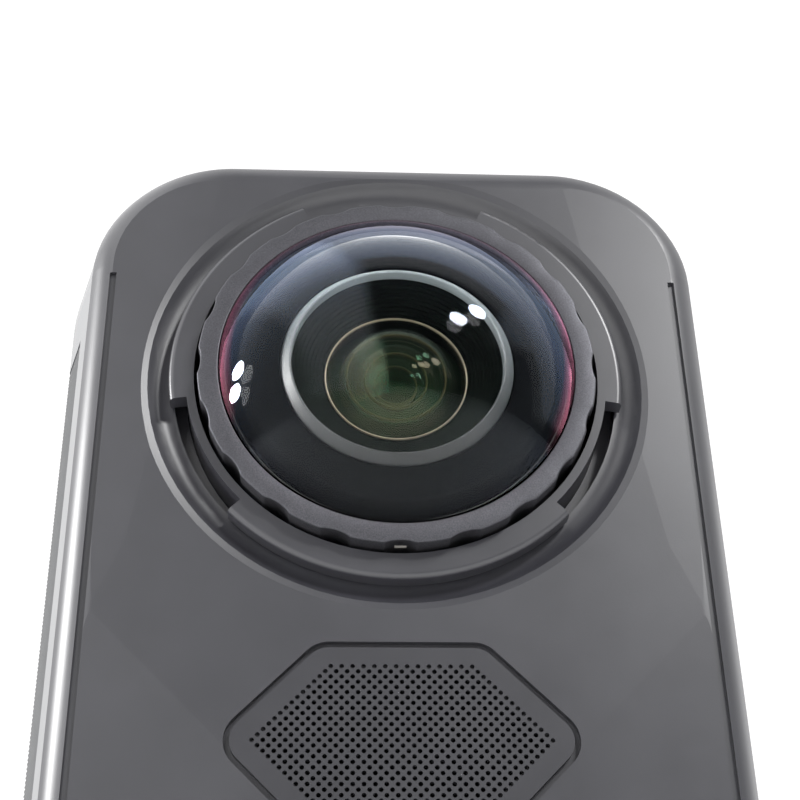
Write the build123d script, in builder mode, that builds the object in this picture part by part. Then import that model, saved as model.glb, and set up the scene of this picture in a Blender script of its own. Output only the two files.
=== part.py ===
from build123d import *
from math import acos, cos, radians, sin, sqrt, tan
import os

os.makedirs("parts", exist_ok=True)

# A pocket camera that sees all round: a tall rounded slab with a fisheye lens on each broad face.
# Millimetres. X is the width, Y the depth, Z up; the origin is the middle of the base.
# The grille side faces -Y and the touchscreen side faces +Y.
# Depths are counted outwards from the middle plane of the body, the same for both sides.

GRILLE, SCREEN = -1, 1

# Outer body
body_width = 46.0
body_height = 124.5
face_depth = 12.2
lens_drop = 20.4
top_corner = 11.7
bottom_corner = 8.0
full_width_depth = 3.7
seam_depth = 10.8
seam_inset = 2.12
seam_gap = 0.08
roll_radius = 2.6
frame_wall = 1.3
fit_gap = 0.05
overrun = 2.0

half_width = body_width / 2
lens_z = body_height - lens_drop
cavity_inset = seam_inset + frame_wall
cavity_half_width = half_width - cavity_inset
shell_foot = seam_depth + seam_gap
roll_inset = seam_inset - roll_radius * (1 - sin(acos(1 - (face_depth - shell_foot) / roll_radius)))

# Shells
lip_height = 1.2
lip_thickness = 0.9
bowl_radius = 16.5
bowl_underside = 8.4
bowl_floor = 9.6
moat_radius = 16.9
moat_step_radius = 16.25
moat_step_height = 0.16
moat_foot_radius = 14.75
moat_foot_height = 1.7
groove_inset = 3.5
groove_width = 0.45
groove_depth = 0.38
edge_line_inset = 3.05
edge_line_width = 0.12
edge_line_depth = 0.2
groove_end_above_lens = 8.0

# Faceted face on the grille side
facet_angle = 2.0
facet_reach = 8.0
crease_top_inset = 4.1
crease_middle = (6.0, 12.4)
crease_start = (7.1, 5.8)
crease_run = 8.0
flank_angle = 1.0

# Sound grille panel, with 45 degree edges and a lattice of holes
hex_half_top = 4.95
hex_half_height = 5.75
hex_below_lens = 25.1
hex_corner = 1.5
hex_outline_gap = 0.36
hex_thickness = 0.45
hex_ledge = 1.4
hole_radius = 0.14
hole_half_pitch = 0.325
hole_rows_each_way = 14
middle_row_holes = 28
guard_thickness = 0.5
guard_lap = 0.8
glue_gap = 0.03
speaker_length = 15.0
speaker_height = 9.5
speaker_depth = 3.1
speaker_cone_sink = 0.45

# Bayonet collar
collar_bore = 13.35
collar_neck_radius = 13.9
collar_lug_radius = 15.0
collar_top = 12.7
lug_thickness = 1.2
lug_edge_round = 0.35
flange_radius = 15.6
flange_thickness = 1.0
lug_arcs = ((-8.8, 65.4), (115.5, 189.3), (224.2, 315.9))

# Dome glass and its screwed ring
dome_reach = 19.1
dome_thickness = 1.1
dome_edge_depth = 13.7
dome_rim_radius = 11.65
dome_rim_top = 13.77
dome_rim_depth = 12.7
seal_width = 0.55
ring_bore = 11.72
ring_radius = 13.1
ring_top_thickness = 0.5
ring_skirt_wall = 0.78
ring_skirt_end = 10.2
scallop_count = 20
scallop_depth = 0.38
scallop_radius = 1.6
ring_edge_chamfer = 0.12

# Lens barrel and what it holds
thread_gap = 0.05
barrel_seat = 12.1
barrel_radius = 9.0
baffle_top_radius = 10.0
baffle_dome_gap = 0.42
baffle_rim_gap = 0.26
inner_ring_radius = 7.6
inner_ring_width = 0.7
inner_ring_top = 14.15
inner_ring_thickness = 0.85
inner_ring_lip = 0.06
cone_foot = 9.0
cone_mouth_radius = 4.75
cone_mouth_depth = 11.7
cone_steps = 4
second_radius = 4.65
second_sag = 2.48
second_rim_depth = 11.75
rear_radius = 3.4
rear_edge = 1.0
rear_sag = 0.6
rear_foot = 4.8
sensor_cave_radius = 7.0
sensor_cave_end = 4.2
stop_radius = 2.6

# Sensor boards on the bulkhead
bulkhead_half = 0.9
board_thickness = 1.0
sensor_board_size = 20.0
sensor_size = 9.0
sensor_thickness = 1.0
screw_circle = 14.75
barrel_screw_count = 4
first_screw_angle = 45.0
screw_shank = 0.4
screw_head = 0.75
screw_head_height = 0.6
screw_bite = 0.9
screw_hole_gap = 0.04

# Battery bay, in from +X; what is near the lens is placed from it
bay_back_inset = 11.6
bay_half_depth = 6.05
bay_wall = 0.8
bay_low = 23.8
bay_high_below_lens = 26.2
shelf = 1.0
card_chamber_height = 3.2
battery_gap = 0.2
battery_edge = 1.2
cover_half_depth = 6.9
cover_low = 22.2
cover_high_below_lens = 21.1
cover_gap = 0.12
cover_thickness = 1.9
cover_seal_thickness = 0.55
cover_seal_width = 0.55
contact_thickness = 0.5
contact_half_depth = 4.0
contact_height = 10.0

# Memory card beside the battery
card_width = 11.0
card_length = 15.0
card_thickness = 1.0
card_push = 0.8
card_end_inset = 2.8
card_socket_inset = 5.0
socket_back_wall = 1.2
card_gap = 0.1

# Ribbed side grips
rib_height = 0.1
grip_half_depth = 7.95
grip_thickness = 1.8
grip_top_above_lens = 5.0
left_grip_above_door = 3.0
right_grip_low_below_lens = 17.4
grip_gap = 0.05

# Battery latch in the smooth gap of the ribbed side
latch_height = 3.2
latch_length = 5.2
latch_travel = 2.0
latch_pocket_half = 3.75
latch_stem_length = 2.8
latch_stem_height = 1.3
latch_foot_thickness = 0.75
latch_foot_margin = 0.6
latch_gap = 0.1
latch_sink = 0.1

# Side buttons on -X; shares are of the height between the connector door and the battery sleeve's top
side_button_width = 3.4
side_button_length_share = 0.2
side_button_travel = 0.4
side_button_sink = 0.05
power_button_share = 0.627
quick_button_share = 0.326
button_gap = 0.12
flange_lap = 0.7
button_flange = 0.6
switch_height = 1.45
switch_size = 3.0
switch_flex = 0.5
switch_rest_half_depth = 3.0
switch_rest_margin_share = 0.15

# Connector door on -X, hinged along its +Y edge
door_low = 24.0
door_high = 43.0
door_edge = 5.95
door_gap = 0.12
door_thickness = 1.9
door_seat_inset = 2.4
hinge_y = 5.0
hinge_inset = 1.2
knuckle_radius = 0.78
hinge_side_gap = 0.37
pin_radius = 0.35
pin_running_gap = 0.05
pin_seat_gap = 0.02
pin_bite = 1.4
door_seal_thickness = 0.42
door_seal_band = 0.8
door_seal_margin = 0.9
door_seal_hinge_side = 3.6
door_latch_low = 30.1
door_latch_length = 5.3
door_latch_travel = 1.5
door_latch_middle = 3.2
door_latch_width = 2.6
door_latch_floor_inset = 1.0
door_latch_sink = 0.3

# Connector behind the door
usb_width = 8.94
usb_height = 3.16
usb_wall = 0.3
usb_z = 33.5
usb_mouth_depth = 6.2
usb_tongue_width = 6.7
usb_tongue_thickness = 0.7
usb_end_inset = 2.6
usb_hole_gap = 0.2
usb_board_height = 12.0
usb_board_half_depth = 4.5
usb_board_thickness = 0.8

# Touchscreen side
glass_side_inset = 6.6
glass_low = 19.5
glass_high_below_lens = 19.9
glass_corner = 2.5
glass_thickness = 1.0
glass_sink = 0.05
glass_gap = 0.1
pad_margin = 1.9
pad_thickness = 1.0
display_side_margin = 2.2
display_low = 23.4
display_high_below_lens = 24.5
display_thickness = 1.9
display_gap = 0.3
key_z = 11.9
key_spread = 6.5
shutter_radius = 4.0
lens_key_radius = 3.2
key_proud = 0.15
key_travel = 0.4
key_flange = 0.7
key_flange_lap = 0.8
key_stem_radius = 1.2
key_stem_length = 1.05
key_switch_height = 1.1
edge_round = 0.3
key_board_thickness = 0.8
key_board_half_width = 12.0
key_board_low = 6.6
key_board_high = 17.4
key_rest_thickness = 1.0
key_rest_reach = 11.0
key_rest_margin = 1.5
window_radius = 0.6
window_z = 15.6
window_lap = 0.5
window_flange = 0.6

# Main board beside the battery bay
spreader_thickness = 0.8
spreader_side_margin = 2.5
spreader_low = 26.0
spreader_high_below_lens = 34.1
main_board_side_gap = 2.08
main_board_margin = 1.5
chip_height = 1.2
# each chip: x, share of the spreader's height above its middle, width, height
chips = ((-7.0, 0.227, 12.0, 12.0), (8.0, 0.273, 9.0, 8.0), (0.0, -0.2, 7.0, 7.0), (-11.0, -0.273, 5.0, 8.0))

# Microphones under the top wall
mic_x = 9.0
mic_depth = 3.5
mic_width = 3.0
mic_length = 2.6
mic_height = 1.3
mic_hole_radius = 0.45

# Base
base_side_inset = 8.0
base_half_depth = 7.5
base_thickness = 1.6
base_corner = 2.0
base_screw_inset = 2.6
base_screw_y = 5.0
base_screw_head = 1.15
base_screw_shank = 0.6
base_screw_bite = 1.2
key_slot_share = 0.6
key_slot_length = 7.0
key_slot_width = 2.2
key_slot_depth = 1.0
socket_radius = 4.6
socket_flange_radius = 6.4
socket_flange_thickness = 1.2
socket_top = 9.2
socket_sink = 0.2
thread_radius = 2.6
thread_depth = 7.2


def face_plane(side, depth):
    """Plane square to the lens axis at a depth, facing out of the body; its upward axis is Z."""
    return Plane(origin=(0, side * depth, 0), x_dir=(-side, 0, 0), z_dir=(0, side, 0))


def section_plane(side):
    """Plane through the lens axis: radius along X, depth outwards from the middle of the body."""
    return Plane(origin=(0, 0, lens_z), x_dir=(1, 0, 0), z_dir=(0, 0, side))


def lens_axis(side):
    """The axis of one lens, pointing out of the body."""
    return Axis((0, 0, lens_z), (0, side, 0))


def body_outline(inset):
    """Face-on outline of the body, drawn in by inset all round."""
    with BuildSketch(mode=Mode.PRIVATE) as outline:
        with Locations((0, inset)):
            Rectangle(body_width - 2 * inset, body_height - 2 * inset, align=(Align.CENTER, Align.MIN))
        fillet(outline.vertices().group_by(Axis.Y)[-1], top_corner - inset)
        fillet(outline.vertices().group_by(Axis.Y)[0], bottom_corner - inset)
    return outline.sketch


def hexagon(grow):
    """Outline of the sound grille, grown outwards all round."""
    half_top = hex_half_top + grow * tan(radians(45 / 2))
    half_height = hex_half_height + grow
    half_across = half_top + half_height
    corners = [(half_top, half_height), (half_across, 0), (half_top, -half_height)]
    corners += [(-x, z) for x, z in reversed(corners)]
    with BuildSketch(mode=Mode.PRIVATE) as outline:
        with Locations((0, hex_z)):
            Polygon(*corners, align=None)
        fillet(outline.vertices(), hex_corner + grow)
    return outline.sketch


def body_block(inset):
    """The band between the two seams, full in the middle and tapering to both sides."""
    full, seam = body_outline(inset), body_outline(inset + seam_inset)
    with BuildPart(mode=Mode.PRIVATE) as block:
        with BuildSketch(face_plane(GRILLE, -full_width_depth)):
            add(full)
        extrude(amount=2 * full_width_depth)
        for side in (GRILLE, SCREEN):
            with BuildSketch(face_plane(side, full_width_depth)):
                add(full)
            with BuildSketch(face_plane(side, seam_depth)):
                add(seam)
            loft(ruled=True)
    return block.part


def box_between(x, y, z):
    """A plain block between two limits on each axis, kept apart from any piece being built."""
    middle = ((x[0] + x[1]) / 2, (y[0] + y[1]) / 2, (z[0] + z[1]) / 2)
    return Pos(*middle) * Box(x[1] - x[0], y[1] - y[0], z[1] - z[0], mode=Mode.PRIVATE)


def turned(outline, side):
    """A turned piece on a lens axis from its half section of (radius, depth) points."""
    with BuildPart(mode=Mode.PRIVATE) as piece:
        with BuildSketch(section_plane(side)):
            with BuildLine():
                Polyline(*outline, close=True)
            make_face()
        revolve(axis=lens_axis(side))
    return piece.part


def keep(part, name):
    """Label a finished piece and write it out."""
    part.label = name
    export_step(part, "parts/" + name + ".step")


# Levels that several pieces share
hex_z = lens_z - hex_below_lens
crease_top_x = half_width - crease_top_inset
crease_top_below = hex_below_lens + hex_half_top + hex_half_height - crease_top_x
bay_back = bay_back_inset - half_width
bay_high = lens_z - bay_high_below_lens
bay_sleeve_depth = bay_half_depth + bay_wall
card_chamber_low = bay_high + shelf
card_chamber_high = card_chamber_low + card_chamber_height
card_outer_end = half_width - card_end_inset
card_inner_end = card_outer_end - card_length
socket_slot_end = card_inner_end - card_push - card_gap
socket_inner_end = socket_slot_end - socket_back_wall
sleeve_low = bay_low - bay_wall
sleeve_high = card_chamber_high + bay_wall
sleeve_back = bay_back - bay_wall
cover_high = lens_z - cover_high_below_lens
cover_inner = half_width - cover_thickness
cover_seat = cover_inner - cover_seal_thickness - fit_gap
grip_seat = half_width - grip_thickness
grip_top = lens_z + grip_top_above_lens
left_grip_low = door_high + left_grip_above_door
right_grip_low = lens_z - right_grip_low_below_lens
latch_low = cover_high + cover_gap
latch_middle = (latch_low + right_grip_low) / 2
barrel_flange_low = bowl_underside - 2 * flange_thickness
barrel_head_radius = ring_radius - ring_skirt_wall - thread_gap
glass_half_width = half_width - glass_side_inset
glass_high = lens_z - glass_high_below_lens
glass_outer = face_depth - glass_sink
glass_inner = glass_outer - glass_thickness
glass_middle = (glass_low + glass_high) / 2
glass_height = glass_high - glass_low
display_half_width = glass_half_width - display_side_margin
display_high = lens_z - display_high_below_lens
display_height = display_high - display_low
display_middle = (display_low + display_high) / 2
base_half_width = half_width - base_side_inset
base_screw_x = base_half_width - base_screw_inset
cavity_floor = cavity_inset
key_flange_top = shell_foot - button_gap
key_switch_top = key_flange_top - key_flange - key_stem_length - key_travel - fit_gap
key_board_outer = key_switch_top - key_switch_height
key_board_inner = key_board_outer - key_board_thickness
usb_inner_end = -sleeve_back + usb_board_thickness
usb_outer_end = half_width - usb_end_inset
side_flange_outer = cavity_half_width - button_gap
side_switch_outer = side_flange_outer - button_flange - side_button_travel - fit_gap
side_flex_outer = side_switch_outer - switch_height
side_flex_inner = side_flex_outer - switch_flex
door_seat = half_width - door_seat_inset
door_inner = half_width - door_thickness
hinge_x = half_width - hinge_inset
door_recess_hinge_side = hinge_y + knuckle_radius + hinge_side_gap
dome_sag = dome_reach - dome_rim_top
dome_radius = (dome_rim_radius ** 2 + dome_sag ** 2) / (2 * dome_sag)
inner_sphere = dome_radius - dome_thickness
dome_centre = dome_reach - dome_radius
inner_rim = sqrt(inner_sphere ** 2 - (dome_rim_depth - dome_centre) ** 2)
lens_sides = (("grille", GRILLE), ("screen", SCREEN))
side_zone = sleeve_high - door_high
side_button_length = side_zone * side_button_length_share
power_button_z = door_high + side_zone * power_button_share
quick_button_z = door_high + side_zone * quick_button_share
switch_rest_margin = side_zone * switch_rest_margin_share
side_buttons = (("power_button", power_button_z), ("quick_button", quick_button_z))
keys = (("shutter_button", -key_spread, shutter_radius), ("lens_button", key_spread, lens_key_radius))

full_block = body_block(0)
grip_block = body_block(rib_height)
cavity_outline = body_outline(cavity_inset)


def side_slot(length, width, z, gap):
    """A round-ended slot on the -X side, as its own sketch with Z upwards."""
    with BuildSketch(mode=Mode.PRIVATE) as slot:
        with Locations((0, z)):
            SlotOverall(length + 2 * gap, width + 2 * gap, rotation=90)
    return slot.sketch


def left_plane(distance):
    """Plane facing -X at a distance from the middle; its upward axis is Z."""
    return Plane(origin=(-distance, 0, 0), x_dir=(0, -1, 0), z_dir=(-1, 0, 0))


# Middle frame: the band round the sides, with the battery bay and the bulkhead that carries the sensors
with BuildPart() as mid_frame:
    add(full_block)
    with BuildSketch(face_plane(GRILLE, -seam_depth - overrun)):
        add(cavity_outline)
    extrude(amount=2 * (seam_depth + overrun), mode=Mode.SUBTRACT)
    # bulkhead between the two lens barrels
    with BuildSketch(face_plane(GRILLE, -bulkhead_half)):
        add(body_outline(cavity_inset - fit_gap))
        with Locations((0, right_grip_low)):
            Rectangle(body_width, body_height, align=(Align.CENTER, Align.MAX), mode=Mode.SUBTRACT)
    extrude(amount=2 * bulkhead_half)
    # battery sleeve from the +X wall
    add(box_between((sleeve_back, cavity_half_width + fit_gap), (-bay_sleeve_depth, bay_sleeve_depth),
                    (sleeve_low, sleeve_high)))
    # rest for the side switches, on the back of the sleeve
    add(box_between((-side_flex_inner, sleeve_back + fit_gap),
                    (-switch_rest_half_depth, switch_rest_half_depth),
                    (quick_button_z - switch_rest_margin, power_button_z + switch_rest_margin)))
    # rests for the key board, on both side walls
    for direction in (-1, 1):
        rest_ends = sorted((direction * key_rest_reach, direction * (cavity_half_width + fit_gap)))
        add(box_between(rest_ends, (key_board_inner - key_rest_thickness, key_board_inner),
                        (key_board_low + key_rest_margin, key_board_high - key_rest_margin)))
    # battery bay, card chamber, and the seat of the battery cover
    add(box_between((bay_back, half_width + overrun), (-bay_half_depth, bay_half_depth),
                    (bay_low, bay_high)), mode=Mode.SUBTRACT)
    add(box_between((socket_inner_end - fit_gap, half_width + overrun), (-bay_half_depth, bay_half_depth),
                    (card_chamber_low, card_chamber_high)), mode=Mode.SUBTRACT)
    cover_reach = cover_half_depth + cover_gap
    add(box_between((cover_seat, half_width + overrun), (-cover_reach, cover_reach),
                    (cover_low - cover_gap, cover_high + cover_gap)), mode=Mode.SUBTRACT)
    # battery latch pocket and the slot for its stem
    add(box_between((cover_inner, half_width + overrun), (-latch_pocket_half, latch_pocket_half),
                    (latch_low - overrun, right_grip_low + overrun)), mode=Mode.SUBTRACT)
    slot_half = (latch_stem_length + latch_travel) / 2 + latch_gap
    add(box_between((cavity_half_width - overrun, half_width), (-slot_half, slot_half),
                    (latch_middle - latch_stem_height / 2 - latch_gap,
                     latch_middle + latch_stem_height / 2 + latch_gap)), mode=Mode.SUBTRACT)
    # seats of the ribbed grips
    grip_reach = grip_half_depth + grip_gap
    add(box_between((grip_seat, half_width + overrun), (-grip_reach, grip_reach),
                    (right_grip_low - grip_gap, grip_top + grip_gap)), mode=Mode.SUBTRACT)
    add(box_between((-half_width - overrun, -grip_seat), (-grip_reach, grip_reach),
                    (left_grip_low - grip_gap, grip_top + grip_gap)), mode=Mode.SUBTRACT)
    # side button holes
    for name, z in side_buttons:
        with BuildSketch(left_plane(cavity_half_width - fit_gap)):
            add(side_slot(side_button_length, side_button_width, z, button_gap))
        extrude(amount=cavity_inset + overrun, mode=Mode.SUBTRACT)
    # connector door seat, hinge pin holes and connector hole
    add(box_between((-half_width - overrun, -door_seat), (-door_edge - door_gap, door_recess_hinge_side),
                    (door_low - door_gap, door_high + door_gap)), mode=Mode.SUBTRACT)
    with BuildSketch(Plane.XY.offset(door_low - pin_bite)):
        with Locations((-hinge_x, hinge_y)):
            Circle(pin_radius + pin_seat_gap)
    extrude(amount=door_high - door_low + 2 * pin_bite, mode=Mode.SUBTRACT)
    usb_hole_half = usb_height / 2 + usb_hole_gap
    add(box_between((-half_width, -cavity_half_width + overrun), (-usb_hole_half, usb_hole_half),
                    (usb_z - usb_width / 2 - usb_hole_gap, usb_z + usb_width / 2 + usb_hole_gap)),
        mode=Mode.SUBTRACT)
    # microphone holes in the top wall
    with BuildSketch(Plane.XY.offset(body_height - cavity_inset - fit_gap)):
        with Locations(*[(x * mic_x, y * mic_depth) for x in (-1, 1) for y in (-1, 1)]):
            Circle(mic_hole_radius)
    extrude(amount=cavity_inset + overrun, mode=Mode.SUBTRACT)
    # pocket of the base plate, tripod socket hole and base screw holes
    with BuildSketch(Plane.XY.offset(-overrun)):
        RectangleRounded(2 * (base_half_width + fit_gap), 2 * (base_half_depth + fit_gap), base_corner)
    extrude(amount=base_thickness + overrun, mode=Mode.SUBTRACT)
    with BuildSketch(Plane.XY):
        Circle(socket_radius + fit_gap)
    extrude(amount=cavity_floor + overrun, mode=Mode.SUBTRACT)
    with BuildSketch(Plane.XY):
        with GridLocations(2 * base_screw_x, 2 * base_screw_y, 2, 2):
            Circle(base_screw_shank + screw_hole_gap)
    extrude(amount=base_thickness + base_screw_bite + fit_gap, mode=Mode.SUBTRACT)
keep(mid_frame.part, "mid_frame")


def shell_blank(side):
    """One broad shell before its own features: rolled plate, locating lip, and the bowl round the lens."""
    lip_outer = body_outline(cavity_inset + fit_gap)
    lip_inner = body_outline(cavity_inset + fit_gap + lip_thickness)
    roll = body_outline(roll_inset)
    with BuildPart(mode=Mode.PRIVATE) as blank:
        with BuildSketch(face_plane(side, 0)):
            add(roll)
        extrude(amount=face_depth)
        outer_face = blank.faces().filter_by(Axis.Y).sort_by(Axis.Y)[0 if side == GRILLE else -1]
        fillet(outer_face.edges(), roll_radius)
        with BuildSketch(face_plane(side, 0)):
            add(roll)
        extrude(amount=shell_foot, mode=Mode.SUBTRACT)
        with BuildSketch(face_plane(side, seam_depth - lip_height)):
            add(lip_outer)
            add(lip_inner, mode=Mode.SUBTRACT)
        extrude(amount=lip_height + seam_gap)
        with BuildSketch(face_plane(side, bowl_underside)):
            with Locations((0, lens_z)):
                Circle(bowl_radius)
        extrude(amount=shell_foot - bowl_underside + fit_gap)
        # moat: a dished ring that falls from the face to the slot round the collar
        neck_hole = collar_neck_radius + fit_gap
        cut_foot, cut_top = bowl_underside - overrun, face_depth + overrun
        dish_foot = (moat_foot_radius, bowl_floor + moat_foot_height)
        dish_top = (moat_step_radius, face_depth - 2 * moat_step_height)
        dish_middle = ((dish_foot[0] + dish_top[0]) / 2 + moat_step_height,
                       (dish_foot[1] + dish_top[1]) / 2 - moat_step_height)
        with BuildSketch(section_plane(side)):
            with BuildLine():
                Polyline((0, cut_foot), (neck_hole, cut_foot), (neck_hole, bowl_floor),
                         (moat_foot_radius, bowl_floor), dish_foot)
                ThreePointArc(dish_foot, dish_middle, dish_top)
                Polyline(dish_top, (moat_step_radius + moat_step_height, face_depth - moat_step_height),
                         (moat_radius, face_depth), (moat_radius + overrun / 2, cut_top), (0, cut_top),
                         (0, cut_foot))
            make_face()
        revolve(axis=lens_axis(side), mode=Mode.SUBTRACT)
        # screw holes for the lens barrel, from inside
        with BuildSketch(face_plane(side, bowl_underside - overrun)):
            with Locations((0, lens_z)):
                with PolarLocations(screw_circle, barrel_screw_count, start_angle=first_screw_angle):
                    Circle(screw_shank + screw_hole_gap)
        extrude(amount=overrun + screw_bite + fit_gap, mode=Mode.SUBTRACT)
    return blank.part


grille_blank = shell_blank(GRILLE)
screen_blank = shell_blank(SCREEN)
groove_outlines = [(body_outline(inset), body_outline(inset + width), depth) for inset, width, depth in
                   ((groove_inset, groove_width, groove_depth),
                    (edge_line_inset, edge_line_width, edge_line_depth))]
hex_recess = hexagon(hex_outline_gap)
hex_window = hexagon(-hex_ledge)


def crease_plane(direction, start, end):
    """Plane across a crease: x runs from the crease towards the body's side, y out of the grille face."""
    run_x, run_z = end[0] - start[0], start[1] - end[1]
    return Plane(origin=(direction * start[0], 0, lens_z - start[1]), x_dir=(-direction * run_z, 0, run_x),
                 z_dir=(run_x, 0, direction * run_z))


def flank_cutter(direction, start, end):
    """What one straight crease beside the lens takes off: the face falls away towards the side."""
    reach = body_width
    fall = reach * tan(radians(flank_angle))
    with BuildPart(mode=Mode.PRIVATE) as cutter:
        with BuildSketch(crease_plane(direction, start, end).offset(-body_height)):
            with BuildLine():
                Polyline((0, face_depth), (reach, face_depth - fall), (reach, face_depth + overrun),
                         (0, face_depth + overrun), close=True)
            make_face()
        extrude(amount=2 * body_height)
    return cutter.part


def lower_cutter(direction):
    """What the lower crease takes off: the face dips at the line of the grille and runs flat again."""
    arc_radius = facet_reach / sin(radians(facet_angle))
    drop = arc_radius * (1 - cos(radians(facet_angle)))
    middle_drop = drop - arc_radius * (1 - cos(radians(facet_angle / 2)))
    middle_reach = facet_reach - arc_radius * sin(radians(facet_angle / 2))
    start, end = (crease_top_x, crease_top_below), (crease_top_x - crease_run, crease_top_below + crease_run)
    with BuildPart(mode=Mode.PRIVATE) as cutter:
        with BuildSketch(crease_plane(direction, start, end).offset(-body_height)):
            with BuildLine():
                ThreePointArc((0, face_depth), (middle_reach, face_depth - middle_drop),
                              (facet_reach, face_depth - drop))
                Polyline((facet_reach, face_depth - drop), (body_height, face_depth - drop),
                         (body_height, face_depth + overrun), (0, face_depth + overrun), (0, face_depth))
            make_face()
        extrude(amount=2 * body_height)
    return cutter.part


def groove_cutter(side):
    """The groove and the fine line that follow the rolled edge, up to a little above the lens centre."""
    with BuildPart(mode=Mode.PRIVATE) as cutter:
        for outer, inner, depth in groove_outlines:
            with BuildSketch(face_plane(side, face_depth - depth)):
                add(outer)
                add(inner, mode=Mode.SUBTRACT)
                with Locations((0, lens_z + groove_end_above_lens)):
                    Rectangle(body_width, body_height, align=(Align.CENTER, Align.MIN), mode=Mode.SUBTRACT)
            extrude(amount=overrun)
    return cutter.part


# Outer shell on the grille side, with its creased face
crease_points = [(half_width - inset, below) for inset, below in (crease_start, crease_middle)]
crease_points.append((crease_top_x, crease_top_below))
flank_creases = (crease_points[:2], crease_points[1:])
grille_cutters = [groove_cutter(GRILLE)]
for direction in (-1, 1):
    first, second = (flank_cutter(direction, *crease) for crease in flank_creases)
    grille_cutters += [first & second, lower_cutter(direction)]
with BuildPart() as grille_side_shell:
    add(grille_blank)
    add(grille_cutters, mode=Mode.SUBTRACT)
    # recess, ledge and window of the sound grille
    with BuildSketch(face_plane(GRILLE, face_depth - hex_thickness)):
        add(hex_recess)
    extrude(amount=hex_thickness + overrun, mode=Mode.SUBTRACT)
    with BuildSketch(face_plane(GRILLE, shell_foot - overrun)):
        add(hex_window)
    extrude(amount=face_depth, mode=Mode.SUBTRACT)
keep(grille_side_shell.part, "grille_side_shell")

# Outer shell on the touchscreen side
with BuildPart() as screen_side_shell:
    add(screen_blank)
    add(groove_cutter(SCREEN), mode=Mode.SUBTRACT)
    # pad behind the glass, its recess and the window of the display
    with BuildSketch(face_plane(SCREEN, shell_foot - pad_thickness)):
        with Locations((0, glass_middle)):
            RectangleRounded(2 * (glass_half_width + pad_margin), glass_height + 2 * pad_margin,
                             glass_corner + pad_margin)
    extrude(amount=pad_thickness + fit_gap)
    with BuildSketch(face_plane(SCREEN, glass_inner)):
        with Locations((0, glass_middle)):
            RectangleRounded(2 * (glass_half_width + glass_gap), glass_height + 2 * glass_gap,
                             glass_corner + glass_gap)
    extrude(amount=glass_thickness + overrun, mode=Mode.SUBTRACT)
    with BuildSketch(face_plane(SCREEN, shell_foot - pad_thickness - overrun)):
        with Locations((0, display_middle)):
            Rectangle(2 * (display_half_width + display_gap), display_height + 2 * display_gap)
    extrude(amount=face_depth, mode=Mode.SUBTRACT)
    # key holes and the hole of the status light window
    for name, x, radius in keys:
        with BuildSketch(face_plane(SCREEN, shell_foot - overrun)):
            with Locations((x, key_z)):
                Circle(radius + button_gap)
        extrude(amount=face_depth, mode=Mode.SUBTRACT)
    with BuildSketch(face_plane(SCREEN, shell_foot - overrun)):
        with Locations((0, window_z)):
            Circle(window_radius + fit_gap)
    extrude(amount=face_depth, mode=Mode.SUBTRACT)
keep(screen_side_shell.part, "screen_side_shell")

# Ribbed grips on both sides; their fine ribs stand on this plain surface
with BuildPart() as left_side_grip:
    add(grip_block)
    add(box_between((-half_width, -grip_seat), (-grip_half_depth, grip_half_depth),
                    (left_grip_low, grip_top)), mode=Mode.INTERSECT)
    for name, z in side_buttons:
        with BuildSketch(left_plane(grip_seat - overrun)):
            add(side_slot(side_button_length, side_button_width, z, button_gap))
        extrude(amount=half_width, mode=Mode.SUBTRACT)
keep(left_side_grip.part, "left_side_grip")

with BuildPart() as right_side_grip:
    add(grip_block)
    add(box_between((grip_seat, half_width), (-grip_half_depth, grip_half_depth),
                    (right_grip_low, grip_top)), mode=Mode.INTERSECT)
keep(right_side_grip.part, "right_side_grip")

# Sound grille: a thin hexagonal plate with rows of holes, one hole fewer in each row away from the middle
hole_places = []
for row in range(-hole_rows_each_way, hole_rows_each_way + 1):
    count = middle_row_holes - abs(row)
    row_z = hex_z + row * hole_half_pitch
    hole_places += [((2 * k - count + 1) * hole_half_pitch, row_z) for k in range(count)]
with BuildPart() as hex_grille:
    with BuildSketch(face_plane(GRILLE, face_depth - hex_thickness)):
        add(hexagon(0))
        with Locations(*hole_places):
            Circle(hole_radius, mode=Mode.SUBTRACT)
    extrude(amount=hex_thickness)
keep(hex_grille.part, "hex_grille")

# Wind guard glued behind the window, and the speaker behind it
guard_outer = shell_foot - glue_gap
with BuildPart() as wind_guard:
    with BuildSketch(face_plane(GRILLE, guard_outer - guard_thickness)):
        add(hexagon(-hex_ledge + guard_lap))
    extrude(amount=guard_thickness)
keep(wind_guard.part, "wind_guard")

speaker_outer = guard_outer - guard_thickness - glue_gap
with BuildPart() as speaker:
    with BuildSketch(face_plane(GRILLE, speaker_outer - speaker_depth)):
        with Locations((0, hex_z)):
            RectangleRounded(speaker_length, speaker_height, hex_corner)
    extrude(amount=speaker_depth)
    # cone opening in the front of the box
    with BuildSketch(face_plane(GRILLE, speaker_outer - speaker_cone_sink)):
        with Locations((0, hex_z)):
            RectangleRounded(speaker_length - 2 * hex_corner, speaker_height - 2 * hex_corner, hex_corner)
    extrude(amount=speaker_cone_sink, mode=Mode.SUBTRACT)
keep(speaker.part, "speaker")


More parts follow.
